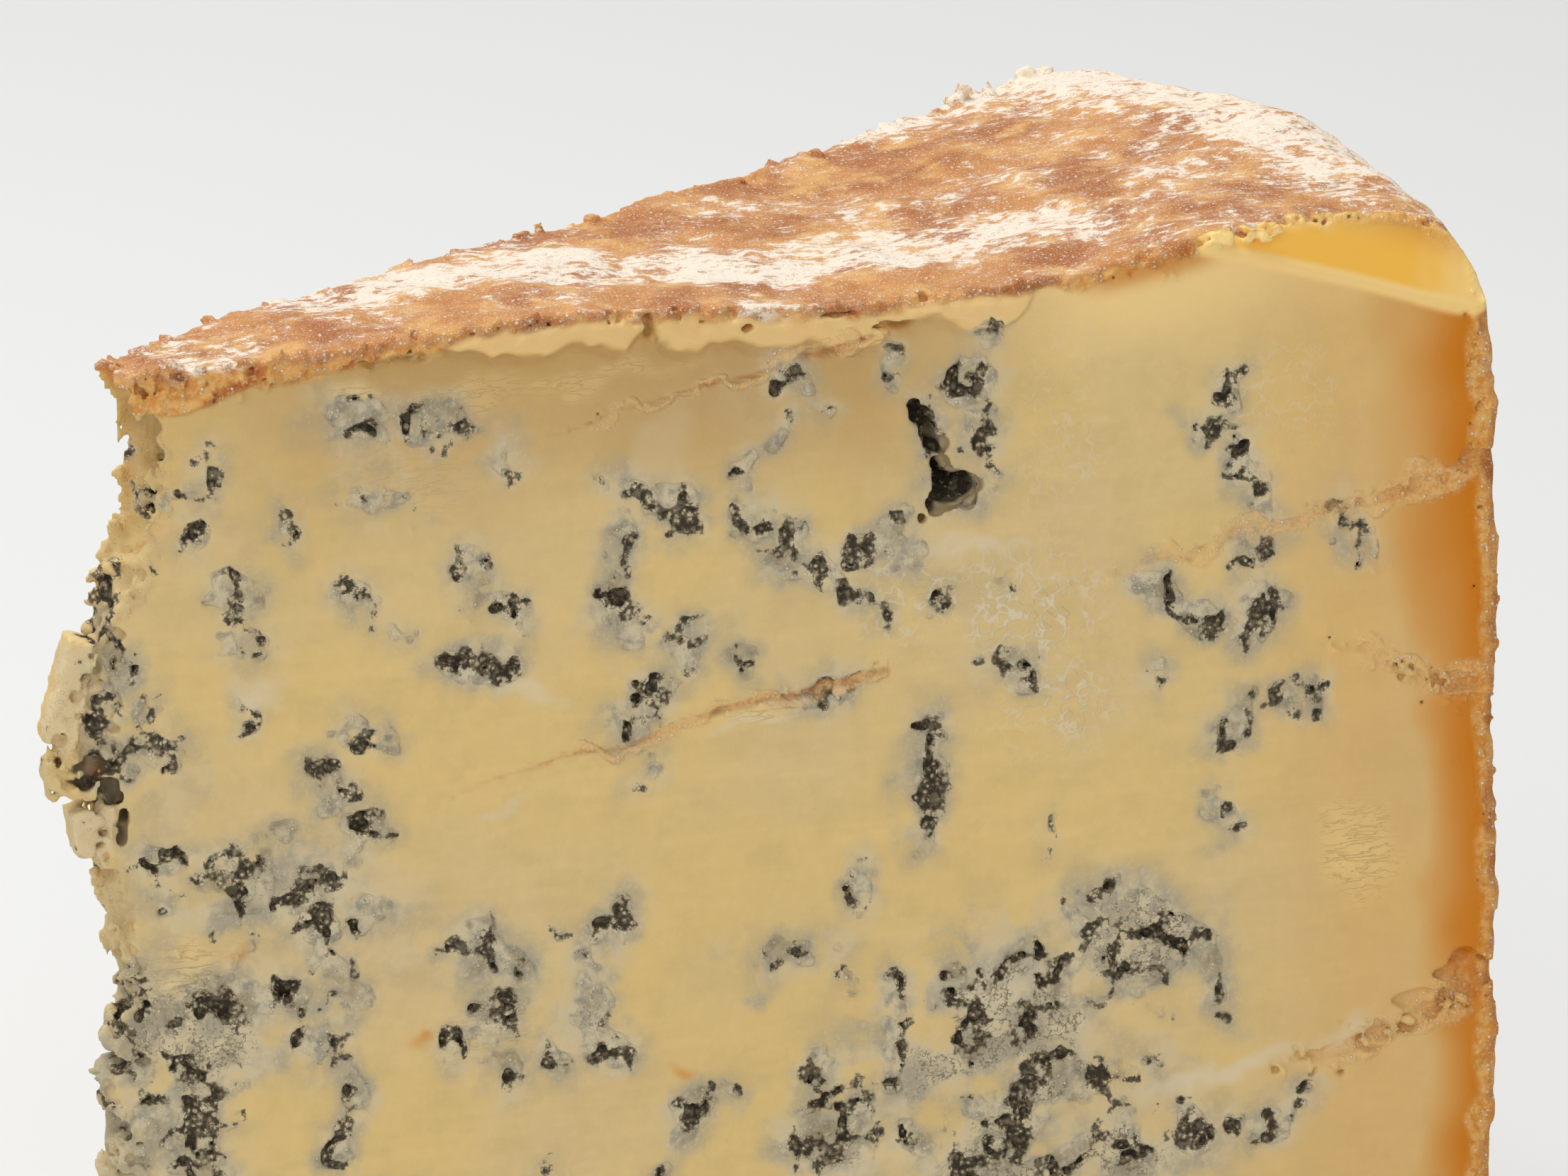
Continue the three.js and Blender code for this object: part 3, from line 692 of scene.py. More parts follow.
def cut_hole():
    """The deep hole: a narrow neck that leans towards the tip, and the pocket that it opens into."""
    for t, d, radius in [
        (61.8, 7.1, 0.55), (62.3, 8.0, 0.8), (62.9, 9.0, 0.85), (63.5, 10.1, 0.8), (63.7, 11.2, 0.75),
        (63.9, 12.2, 0.9), (64.5, 13.3, 1.35), (65.7, 13.6, 1.15), (66.3, 13.2, 0.7), (63.4, 14.3, 0.8),
        (62.6, 15.1, 0.5),
    ]:
        field.hollow(FRONT.point(t, d, 0.8), radius, 0.45, (1, 3.2, 1))


def break_tip():
    # A chipped strip along the front edge, with a smooth slab left standing in front of it.
    for _ in range(STRIP_CHIPS):
        d = rng.uniform(17, 26)
        t = rng.normal(6.4 - 0.09 * (d - 17), 0.45)
        field.chip(FRONT.point(t, d, rng.uniform(-0.2, 0.3)), rng.uniform(0.4, 0.8), False)
    spans, (across, inward, up) = field.window(FRONT.point(4.3, 21.4, 1.2), (3.4, 2.4, 5.0))
    sides = np.maximum(np.abs(across - 0.25 * up) - 1.05, np.abs(up + 0.3 * across) - 3.9)
    slab = np.maximum(sides, np.abs(inward + 0.25 * across) - 1.3)
    field.join(spans, slab - 0.12 * field.rough[spans], True)
    # The crevice behind the slab, and the loose block below it.
    for t, d, radius, stretch in [
        (5.2, 26.9, 1.2, (1.3, 1.1, 0.9)),
        (6.7, 28.3, 1.0, (0.9, 1.3, 1.3)),
        (7.6, 30.8, 0.7, (0.7, 1.7, 2.4)),
    ]:
        field.hollow(FRONT.point(t, d, 0.7), radius, 0.5, stretch)
    field.chip(FRONT.point(3.1, 27.0, 1.3), 1.1, True)
    block = FRONT.point(5.5, 30.9, 1.2)
    spans, (across, inward, up) = field.window(block, (2.4, 2.4, 2.8))
    sides = np.maximum(np.abs(across + 0.15 * up) - 1.25, np.abs(up - 0.2 * across) - 1.6)
    field.join(spans, np.maximum(sides, np.abs(inward) - 1.4) - 0.15 * field.rough[spans], True)
    for _ in range(TIP_CHIPS):
        d, across = rng.uniform(3.5, 90), rng.uniform(-1, 1)
        if 16.5 < d < 25.5 and across > 0:
            continue
        add = bool(rng.random() < 0.5)
        size = rng.uniform(0.16, 0.36) if add else rng.uniform(0.2, 0.6)
        field.chip(tip_place(d, across, rng.normal(-0.1, 0.2)), size, add)
    # Small chips out of the front cut's edge along the tip.
    for _ in range(TIP_EDGE_CHIPS):
        place = tip_place(rng.uniform(3, 90), -1.0, rng.normal(-0.3, 0.25))
        field.chip(place, rng.uniform(0.18, 0.45), False)


def crumble_edges():
    # Grains along the crust's edge on the front cut, most of them near the tip.
    for _ in range(CRUST_GRAINS):
        t = 9 + 88 * rng.random() ** 2.2
        below = rng.uniform(-0.1, 0.2 + float(np.interp(t, *zip(*CRUST_EDGE))))
        place = top_place(FRONT, t, below, rng.uniform(0.0, 0.3))
        field.chip(place, rng.uniform(0.14, 0.36), bool(rng.random() < 0.7))
    # Crumbs along the far edge of the top, which show against the background.
    for _ in range(FAR_EDGE_CRUMBS):
        place = top_place(BACK, rng.uniform(8, 98), rng.normal(0.2, 0.25), rng.uniform(0.0, 1.2))
        field.chip(place, rng.uniform(0.15, 0.45), True)
    for t, up, size in [
        (97.6, 0.2, 0.65), (96.6, 0.3, 0.55), (98.2, 0.3, 0.4), (89.6, 0.4, 0.6), (88.9, 0.1, 0.5),
        (60.5, 0.3, 0.4), (47.0, 0.3, 0.45), (46.2, 0.0, 0.4), (36.0, 0.2, 0.35),
    ]:
        field.chip(top_place(BACK, t, -up, 0.5), size, True)
    # The rind's edge down the side of both cuts.
    for face in (FRONT, BACK):
        for _ in range(SIDE_EDGE_CHIPS):
            d = rng.uniform(2, 90)
            bulge = SIDE_BULGE * math.sin(math.pi * min(1.0, (TOP - d) / (TOP - SHOULDER)))
            place = face.point(RADIUS + bulge - SIDE_WORN - rng.uniform(0.2, 1.5), d, rng.uniform(0.0, 0.3))
            add = bool(rng.random() < 0.7)
            field.chip(place, rng.uniform(0.12, 0.3 if add else 0.2), add)


def facet_edge(t):
    """The place where the facet meets the top rind."""
    v = 0.0
    for _ in range(4):
        up = float(top_height(t, v)) - TOP
        slant = math.tan(FACET_YAW) * (t - FACET_PLACE[0]) + math.sin(FACET_TILT) * up
        v = FACET_PLACE[1] + slant / math.cos(FACET_TILT)
    return np.array((AXIS_X + t, AXIS_Y + v, TOP + up))


def tear_facet_edge():
    """Where the knife came out of the crust it tore grains and small flakes."""
    for _ in range(FACET_CHIPS):
        place = facet_edge(rng.uniform(81.5, 100)) - np.array((0, 0, abs(rng.normal(0, 0.3))))
        field.chip(place, rng.uniform(0.12, 0.24), bool(rng.random() < 0.45))
    for t, d, size in [
        (80.0, 0.7, 0.45), (79.2, 0.9, 0.3), (81.2, 0.6, 0.3), (97.5, 1.2, 0.35), (99.6, 2.4, 0.4),
    ]:
        field.chip(top_place(FRONT, t, d, 0.1), size, True)


def cut_under_flap():
    """Dark gaps between the crust and the smeared paste, and a slit under the crust near the tip."""
    for t, below, long, tall in [
        (60.8, 1.5, 1.9, 0.3), (50.3, 1.0, 0.5, 0.3), (43.6, 0.9, 0.3, 0.9), (56.5, 0.5, 1.4, 0.14),
    ]:
        field.hollow(top_place(FRONT, t, below, -0.3), 1.0, 0.4, (long, 1.3, tall))
    for t in np.arange(18.2, 29.0, 0.45):
        below = float(np.interp(t, *zip(*CRUST_EDGE))) + 0.15 * math.sin(2.3 * t)
        field.hollow(top_place(FRONT, t, below), 0.25, 0.4, (1.6, 1.6, 0.7))


def roughen_creases():
    for crease in CREASES:
        points = np.array(crease["points"], float)
        count = WIDE_CREASE_CHIPS if crease["wide"] > 0.6 else CREASE_CHIPS
        for _ in range(count):
            share = rng.random() ** 1.6 * (len(points) - 1.001)
            i = int(share)
            t, d = points[i] + (share - i) * (points[i + 1] - points[i])
            d = d + rng.normal(0, 0.8 * crease["wide"])
            add = bool(rng.random() < 0.6)
            place = FRONT.point(t, d, rng.uniform(0.0, 0.15) if add else rng.uniform(0, 0.3))
            field.chip(place, rng.uniform(0.12, 0.16 + 0.2 * crease["wide"]), add)
    # The scoop where the lowest crease meets the rind, with ledges and a shadowed slit under it.
    for t, d, inward, radius, stretch in [
        (102, 51.2, 0.3, 1.5, (1.4, 0.8, 1.0)), (98.5, 52.8, 0.1, 1.0, (1.8, 0.6, 0.7)),
        (94.5, 56.0, 0.0, 0.3, (6.5, 1.6, 0.6)), (102, 14.6, 0.2, 0.9, (1.6, 0.8, 0.6)),
        (101.5, 30.6, 0.2, 0.9, (1.6, 0.8, 0.6)),
    ]:
        field.hollow(FRONT.point(t, d, inward), radius, 0.4, stretch)


def scatter_granules():
    """Small pale crumbs in and round the veins of the front face."""
    for _ in range(VEIN_GRANULES):
        t, d, long, wide, tilt, strength = VEINS[rng.integers(len(VEINS))]
        a, b = rng.uniform(-1.2, 1.2, 2)
        c, s = math.cos(math.radians(tilt)), math.sin(math.radians(tilt))
        t, d = t + c * a * long - s * b * (wide + 0.4), d + s * a * long + c * b * (wide + 0.4)
        field.chip(FRONT.point(t, d, rng.uniform(0.05, 0.5)), rng.uniform(0.13, 0.25), True)
    for t, d, size in [
        (15.3, 40.2, 0.7), (16.0, 41.0, 0.5), (27.8, 48, 0.4), (80.0, -0.1, 0.5), (79.3, 0.1, 0.4),
    ]:
        field.chip(FRONT.point(t, d, 0.1), size, True)


cut_hole()
break_tip()
crumble_edges()
tear_facet_edge()
cut_under_flap()
roughen_creases()
scatter_granules()
field.level_foot()
points, quads = field.mesh()


# ---- The mesh object ----------------------------------------------------------------------------


def make_object(name, points, quads):
    mesh = bpy.data.meshes.new(name)
    mesh.vertices.add(len(points))
    mesh.vertices.foreach_set("co", (points * MM).astype(np.float32).ravel())
    mesh.loops.add(quads.size)
    mesh.loops.foreach_set("vertex_index", quads.astype(np.int32).ravel())
    mesh.polygons.add(len(quads))
    mesh.polygons.foreach_set("loop_start", np.arange(0, quads.size, 4, dtype=np.int32))
    mesh.update(calc_edges=True)
    mesh.polygons.foreach_set("use_smooth", np.ones(len(quads), bool))
    made = bpy.data.objects.new(name, mesh)
    bpy.context.scene.collection.objects.link(made)
    return made


def paint(obj, name, channels):
    """Stores four values at each point as one colour attribute."""
    values = np.stack([np.clip(c, 0, 1) for c in channels], 1).astype(np.float32)
    attribute = obj.data.attributes.new(name, "FLOAT_COLOR", "POINT")
    attribute.data.foreach_set("color", values.ravel())


def powder_at(u, v, noise):
    """Where the white mould lies thick on the top: a band across it, the outer rim, and patches."""
    along = np.clip((u - 24) / 50, 0, 1)
    line = 13.5 - 3.0 * along
    band = smooth(9.5, 1.5, np.abs(v - line) + 2.5 * noise(4.2, 48)) * smooth(14, 26, u) * smooth(88, 72, u)
    rim = smooth(86, 96, np.hypot(u, v)) * (0.3 + 0.7 * smooth(0, 14, v))
    patches = 0.42 + 0.35 * noise(9.0, 46)
    thick = np.maximum(np.maximum(0.95 * band, 0.95 * rim), patches)
    return thick + 0.3 * noise(4.2, 45) + 0.26 * noise(1.25, 47) - 0.1 * smooth(18, 8, u)


def colour(obj, points):
    noise = PointNoise(points)
    x, y, z = points[:, 0], points[:, 1], points[:, 2]
    u, v = x - AXIS_X, y - AXIS_Y
    t, d = u, TOP - z
    parts = outline(x, y, z, noise)
    cut = np.maximum(np.maximum(parts["front"], parts["back"]), np.maximum(parts["foot"], parts["tip"]))
    inward = np.minimum(-cut, -parts["rind"])
    from_side, from_top, from_rind = -parts["side"], -parts["top"], -parts["rind"]
    on_front = smooth(2.5, 1.0, -parts["front"])
    found = veins_at(x, y, z, parts, noise)
    spots = noise(0.9, 41)
    dark = 0.46 * smooth(-0.2, 0.15, found["blot"]) * smooth(0.0, 0.3, found["core"])
    # Painted shade: points that lie deeper below the cut are painted darker, reaching black at 3.4 mm, on
    # top of the veins' own dark mould.
    dark = np.maximum(dark + 0.35 * smooth(0.5, 1.3, inward) * (dark > 0.3), smooth(1.4, 3.4, inward))
    warm = sample(crease_brown_map, t, d + 0.35 * noise(3.1, 24)) * on_front * (0.8 + 0.6 * spots)
    # Painted shadow in the crevice behind the tip's slab: its hollow is painted dark and brown.
    crevice = smooth(1.2, 0.6, np.hypot((t - 6.2) / 2.4, (d - 29.4) / 3.6)) * smooth(0.2, 0.9, inward)
    warm = np.maximum(warm, 0.45 * crevice * smooth(-0.3, 0.3, spots))
    dark = np.maximum(dark, crevice * (0.5 + 0.5 * noise(0.75, 5)))
    flap = flap_height(u, noise)
    # Painted shadow: a warm band just under the smeared paste's lower edge, where the flap shades the
    # paste, and a thin brown line 0.6 mm under the rind.
    flap_shadow_and_line = smooth(0.35, 0.05, np.abs(from_rind - flap - 0.35)) + smooth(0.55, 0.2, np.abs(from_rind - 0.6))
    warm = np.maximum(warm, 0.3 * flap_shadow_and_line * smooth(0.4, 0.9, flap) * on_front)
    paint(obj, "vein_and_shade", (found["stain"], dark, found["growth"], warm))

    crust = smooth(0.85, 0.3, from_rind + 0.35 * noise(1.25, 43))
    reach = 7.6 + 3.0 * smooth(30, 8, d) + 1.8 * noise(9.0, 44)
    amber = np.clip(1.1 - (from_side + 0.8 * noise(3.1, 24)) / reach, 0, 1)
    amber = np.maximum(amber, 0.28 * smooth(24, 9, from_side))
    golden = 0.6 * smooth(3.2, 0.8, from_top) * smooth(72, 76, t) * smooth(86, 81, t)
    amber = np.maximum(amber, golden * on_front)
    under = from_top + 1.6 * noise(5.0, 44)
    left = smooth(74, 56, t) * (0.35 + 0.65 * smooth(12, 26, t))
    # Painted shade, partly the paste's browner tone: a darker, browner band under the top rind, strongest
    # on the front face between 26 and 56 mm along it, and at 0.6 on the other cuts.
    tan = (1.0 - 0.055 * under) * smooth(19, 8, under) * np.where(parts["front"] > -2.5, left, 0.6)
    pale = smooth(8.5, 1.5, under) * smooth(66, 76, t) * smooth(99, 92, t) * on_front
    powder = powder_at(u, v, noise) * smooth(SHOULDER + 16, 2, from_top)
    top_edge = smooth(0.35, -0.35, from_rind - crust_edge(t, noise)) * on_front * smooth(2, 5, from_side)
    other_edge = smooth(1.5, 0.9, from_rind + 0.6 * noise(2.2, 6)) * (1 - on_front)
    side_edge = smooth(1.7, 1.0, from_side + 0.6 * noise(2.2, 6))
    shaved = smooth(-0.4, -0.1, facet_distance(x, y, z)) * smooth(FACET_START, FACET_START + 1, u)
    crust = crust * (1 - shaved)

    t, d = warped(t, d, noise)
    web, tear, smear = (sample(grid, t, d) * on_front for grid in (web_map, tear_map, smear_map))
    banks = sample(crease_bank_map, t, d) * on_front
    amber = np.maximum(amber, sample(spot_map, t, d) * on_front)
    slab = smooth(1.1, 0.8, slab_size(t, d)) * on_front
    slab = np.maximum(slab, smooth(2.0, 1.4, np.hypot(t - 5.5, d - 30.9)) * on_front)
    smear = np.maximum(smear, 0.6 * slab)
    facet = smooth(-0.4, -0.15, facet_distance(x, y, z)) * smooth(FACET_START, FACET_START + 1, u)
    facet = facet * smooth(-0.5, 0.0, from_rind) * smooth(-3, -1, parts["front"])
    # Painted highlight, partly paler torn edges: the glossy facet is painted cream along the rind, along
    # the front face's edge and at its right end.
    cream_and_highlight = 0.7 * smooth(0.9, 0.2, from_rind + 0.6 * noise(1.25, 43)) + smooth(0.35, 0.1, -parts["front"])
    cream_and_highlight = cream_and_highlight + 0.8 * smooth(97.5, 100.5, t + 1.5 * noise(3.1, 24))
    paint(obj, "zone", (crust, amber, powder, np.maximum(np.maximum(top_edge, other_edge), side_edge)))
    paint(obj, "tone_shade_and_highlight", (tan, pale, cream_and_highlight, found["blot"] + 0.5))
    paint(obj, "detail", (web, tear, np.maximum(smear, 0), facet))
    smeared = smooth(0.3, -0.1, from_rind - flap) * smooth(0.5, 0.8, flap) * on_front
    paint(obj, "grain", (banks, smeared, top_edge, smooth(1.6, 0.3, -parts["tip"])))


def unwrap(obj, points, quads):
    """One chart for each side of the wedge, laid out side by side on a square."""
    middle = points[quads].mean(1)
    x, y, z = middle[:, 0], middle[:, 1], middle[:, 2]
    parts = outline(x, y, z, PointNoise(middle))
    names = ("front", "back", "foot", "tip", "side", "top")
    chart = np.argmax([parts[name] for name in names], 0)
    place = points[quads.ravel()]
    chart = np.repeat(chart, 4)
    u, v = place[:, 0] - AXIS_X, place[:, 1] - AXIS_Y
    up = place[:, 2]
    along_back = math.cos(ANGLE) * u + math.sin(ANGLE) * v
    across_tip = math.cos(ANGLE / 2) * v - math.sin(ANGLE / 2) * u
    arc = RADIUS * np.arctan2(v, np.maximum(u, 1))
    charts = [
        (u, up, 2, 2), (along_back, up, 110, 2), (u, v, 2, 98), (across_tip, up, 206, 2),
        (up, arc, 2, 152), (u, v, 110, 98),
    ]
    uv = np.empty((len(place), 2), np.float32)
    for i, (across, high, at_u, at_v) in enumerate(charts):
        here = chart == i
        uv[here, 0] = across[here] + at_u
        uv[here, 1] = high[here] + at_v
    layer = obj.data.uv_layers.new(name="OFBake")
    layer.data.foreach_set("uv", np.clip(uv / UV_SHEET, 0, 1).ravel())


cheese = make_object("cheese", points, quads)
colour(cheese, points)
unwrap(cheese, points, quads)
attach(cheese, "root")
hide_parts(NODE)


# ---- The material -------------------------------------------------------------------------------


def srgb(red, green, blue):
    """A colour as it looks, 0 to 255, as the linear values that the shader takes."""
    linear = [((c / 255 + 0.055) / 1.055) ** 2.4 if c > 10 else c / 3295 for c in (red, green, blue)]
    return (*linear, 1.0)


class Nodes:
    """Short ways to add the nodes of one material."""

    def __init__(self, name):
        self.material = bpy.data.materials.new(name)
        self.material.use_nodes = True
        self.tree = self.material.node_tree
        self.shader = self.tree.nodes["Principled BSDF"]
        self.place = self.add("ShaderNodeTexCoord").outputs["Object"]

    def add(self, kind, **settings):
        node = self.tree.nodes.new(kind)
        for key, value in settings.items():
            setattr(node, key, value)
        return node

    def plug(self, value, socket):
        if isinstance(value, bpy.types.NodeSocket):
            self.tree.links.new(value, socket)
        else:
            socket.default_value = value

    def attribute(self, name):
        """The four values that paint() stored."""
        node = self.add("ShaderNodeAttribute", attribute_name=name)
        parts = self.add("ShaderNodeSeparateColor")
        self.plug(node.outputs["Color"], parts.inputs[0])
        return [*parts.outputs[:3], node.outputs["Alpha"]]

    def stretched(self, scale):
        """The place with each axis scaled, which stretches or squashes what is drawn there."""
        node = self.add("ShaderNodeMapping")
        self.plug(self.place, node.inputs["Vector"])
        self.plug(scale, node.inputs["Scale"])
        return node.outputs[0]

    def noise(self, size, detail, roughness=0.55, place=None):
        """Noise from 0 to 1 with features of about this size in millimetres."""
        node = self.add("ShaderNodeTexNoise")
        self.plug(place or self.place, node.inputs["Vector"])
        self.plug(1 / (size * MM), node.inputs["Scale"])
        self.plug(detail, node.inputs["Detail"])
        self.plug(roughness, node.inputs["Roughness"])
        return node.outputs["Fac"]

    def cells(self, size):
        """Random cells of about this size in millimetres."""
        node = self.add("ShaderNodeTexVoronoi")
        self.plug(self.place, node.inputs["Vector"])
        self.plug(1 / (size * MM), node.inputs["Scale"])
        return node.outputs

    def math(self, operation, a, b=0.0):
        node = self.add("ShaderNodeMath", operation=operation)
        self.plug(a, node.inputs[0])
        self.plug(b, node.inputs[1])
        return node.outputs[0]

    def times(self, a, b):
        return self.math("MULTIPLY", a, b)

    def plus(self, a, b):
        return self.math("ADD", a, b)

    def most(self, a, b):
        return self.math("MAXIMUM", a, b)

    def step(self, value, low, high, to_low=0.0, to_high=1.0):
        """Goes smoothly from to_low to to_high as value goes from low to high."""
        node = self.add("ShaderNodeMapRange", interpolation_type="SMOOTHSTEP")
        for socket, number in zip(node.inputs, (value, low, high, to_low, to_high)):
            self.plug(number, socket)
        return node.outputs[0]

    def mix(self, share, a, b):
        node = self.add("ShaderNodeMix", data_type="RGBA")
        self.plug(share, node.inputs[0])
        self.plug(a, node.inputs[6])
        self.plug(b, node.inputs[7])
        return node.outputs[2]

    def ridge(self, noise, half_width):
        """Thin branching lines, where a noise crosses its middle value."""
        return self.step(self.math("ABSOLUTE", self.math("SUBTRACT", noise, 0.5)), half_width, 0.0)

    def bump(self, height, distance):
        """Raises the surface by height times distance, in millimetres."""
        node = self.add("ShaderNodeBump")
        self.plug(distance * MM, node.inputs["Distance"])
        self.plug(height, node.inputs["Height"])
        return node.outputs["Normal"]


PASTE_YELLOW = srgb(226, 194, 124)
PASTE_PALE = srgb(220, 192, 134)
PASTE_OLIVE = srgb(212, 184, 122)
# The darker, browner paste of the painted shade under the top rind.
PASTE_TAN_SHADE = srgb(188, 146, 80)
PASTE_LIGHT = srgb(250, 214, 142)
PASTE_WARM = srgb(222, 172, 98)
FLAP_CREAM = srgb(240, 202, 134)
AMBER = srgb(208, 124, 20)
FACET_YELLOW = srgb(250, 192, 78)
# The cream of the facet's painted highlight and paler torn edges.
FACET_CREAM_HIGHLIGHT = srgb(252, 216, 146)
SMEAR = srgb(226, 212, 182)
STAIN = srgb(210, 194, 158)
STAIN_GREY = srgb(168, 160, 138)
MOULD_BLUE = srgb(158, 151, 132)
MOULD_PALE = srgb(220, 206, 174)
MOULD_BROWN = srgb(158, 138, 100)
VEIN_GREY = srgb(150, 138, 110)
# Dark vein colours, used both for the mould and for painted shade in deep pits and cracks.
VEIN_DARK = srgb(108, 94, 68)
VEIN_BLACK_AND_SHADE = srgb(56, 46, 32)
# Brown of the creases, also used for painted shadow in the tip's crevice and under the smeared paste.
WARM = srgb(180, 112, 50)
RIND_BROWN = srgb(198, 136, 76)
RIND_DARK = srgb(168, 102, 52)
RIND_LIGHT = srgb(220, 166, 96)
CRUST_TAN = srgb(234, 182, 108)
CRUST_GOLD = srgb(216, 146, 62)
CRUST_RED = srgb(182, 100, 44)
GRAIN = srgb(244, 226, 196)
BANK = srgb(240, 196, 132)
POWDER = srgb(244, 230, 210)


def cheese_material():
    n = Nodes("cheese")
    stain, dark, growth, warm = n.attribute("vein_and_shade")
    crust, amber, powder, edge = n.attribute("zone")
    web, tear, smear, facet = n.attribute("detail")
    banks, flap, top_edge, broken = n.attribute("grain")
    tan, pale, cream_and_highlight, blot = n.attribute("tone_shade_and_highlight")
    broad, medium, small = n.noise(14, 1), n.noise(3.0, 3), n.noise(0.8, 3)
    grains, dust = n.noise(0.3, 3, 0.65), n.noise(0.12, 1)

    # Round grains, like sugar: one in some of the cells.
    dots = n.cells(0.42)
    chosen = n.add("ShaderNodeSeparateColor")
    n.plug(dots["Color"], chosen.inputs[0])
    dot = n.times(n.step(dots["Distance"], 0.36, 0.22), n.step(chosen.outputs[0], 0.62, 0.66))

    # The pale net of lines in the paste.
    net = n.most(n.ridge(n.noise(2.4, 2), 0.03), n.ridge(n.noise(1.3, 1), 0.028))
    net = n.times(net, n.times(web, n.step(medium, 0.3, 0.55)))

    paste = n.mix(n.step(broad, 0.35, 0.65), PASTE_YELLOW, PASTE_PALE)
    paste = n.mix(n.step(medium, 0.42, 0.72, 0.0, 0.55), paste, PASTE_OLIVE)
    knife = n.noise(1.4, 2, 0.6, n.stretched((0.14, 1.0, 1.0)))
    paste = n.mix(n.step(knife, 0.45, 0.75, 0.0, 0.16), paste, PASTE_LIGHT)
    paste = n.mix(n.step(small, 0.42, 0.7, 0.0, 0.12), paste, PASTE_LIGHT)
    paste = n.mix(n.step(grains, 0.4, 0.3, 0.0, 0.15), paste, PASTE_OLIVE)
    # Painted shade: the band under the top rind is darkened towards PASTE_TAN_SHADE.
    paste = n.mix(n.times(tan, 0.92), paste, PASTE_TAN_SHADE)
    paste = n.mix(n.times(pale, 0.85), paste, PASTE_LIGHT)
    paste = n.mix(n.step(amber, 0.0, 0.6), paste, PASTE_WARM)
    paste = n.mix(n.step(amber, 0.25, 1.0), paste, AMBER)
    stained = n.times(stain, n.step(small, 0.25, 0.75, 0.75, 1.2))
    greyed = n.mix(n.step(medium, 0.36, 0.58), STAIN, STAIN_GREY)
    greyed = n.mix(n.step(grains, 0.5, 0.72, 0.0, 0.5), greyed, MOULD_PALE)
    paste = n.mix(n.step(stained, 0.0, 0.75, 0.0, 0.92), paste, greyed)
    paste = n.mix(n.times(tear, 0.45), paste, PASTE_LIGHT)
    paste = n.mix(n.times(smear, 0.75), paste, SMEAR)
    paste = n.mix(n.times(net, 0.9), paste, SMEAR)
    paste = n.mix(n.times(flap, 0.85), paste, FLAP_CREAM)

    mould = n.mix(n.step(small, 0.4, 0.66), MOULD_PALE, MOULD_BLUE)
    mould = n.mix(n.step(medium, 0.5, 0.68, 0.0, 0.8), mould, MOULD_BROWN)
    mould = n.mix(n.step(grains, 0.5, 0.7, 0.0, 0.5), mould, MOULD_PALE)
    coarse = n.times(n.math("SUBTRACT", small, 0.5), 0.9)
    fine = n.plus(n.times(n.math("SUBTRACT", grains, 0.5), 1.3), coarse)
    ragged = n.step(n.plus(growth, n.times(fine, 0.8)), 0.2, 1.2, 0.0, 0.85)
    gaps = n.times(n.math("SUBTRACT", dots["Distance"], 0.42), 1.6)
    cracked = n.plus(dark, n.times(n.plus(fine, gaps), n.step(blot, 0.15, 0.4)))
    threads = n.most(n.ridge(n.noise(1.5, 5, 0.62), 0.035), n.ridge(n.noise(0.8, 3, 0.6), 0.04))
    threads = n.times(threads, n.most(n.step(blot, 0.05, 0.35), n.step(stain, 0.6, 0.95, 0.0, 0.55)))
    cracked = n.plus(cracked, n.times(threads, n.step(grains, 0.35, 0.6, 0.1, 0.75)))
    body = n.mix(ragged, paste, mould)
    # The grey, dark and black steps paint the veins' own dark mould, and also the painted shade that
    # deepens with depth in pits, cracks and the hole.
    body = n.mix(n.step(cracked, 0.02, 0.22), body, VEIN_GREY)
    body = n.mix(n.step(cracked, 0.16, 0.5), body, VEIN_DARK)
    body = n.mix(n.step(cracked, 0.5, 0.95, 0.0, 0.9), body, VEIN_BLACK_AND_SHADE)
    body = n.mix(n.times(n.step(small, 0.52, 0.68, 0.0, 0.6), n.step(dark, 0.1, 0.4)), body, VEIN_GREY)
    # WARM paints the creases' own brown, and painted shadow in the tip's crevice and under the smeared
    # paste.
    body = n.mix(n.step(warm, 0.1, 0.9, 0.0, 0.8), body, WARM)
    body = n.mix(n.times(banks, n.step(grains, 0.4, 0.6, 0.35, 0.8)), body, BANK)
    crumbly = n.most(n.most(banks, n.times(broken, 0.35)), n.times(growth, 0.8))
    body = n.mix(n.times(dot, n.times(crumbly, 0.7)), body, GRAIN)

    tan_crust = n.mix(n.step(small, 0.35, 0.65), CRUST_TAN, CRUST_GOLD)
    tan_crust = n.mix(n.times(top_edge, n.step(medium, 0.5, 0.6)), tan_crust, CRUST_RED)
    tan_crust = n.mix(n.step(grains, 0.5, 0.64, 0.0, 0.65), tan_crust, BANK)
    tan_crust = n.mix(n.times(dot, 0.85), tan_crust, GRAIN)
    body = n.mix(edge, body, tan_crust)
    # Painted highlight, partly paler torn edges: cream on the facet's edges and right end.
    body = n.mix(facet, body, n.mix(n.times(cream_and_highlight, 0.8), FACET_YELLOW, FACET_CREAM_HIGHLIGHT))

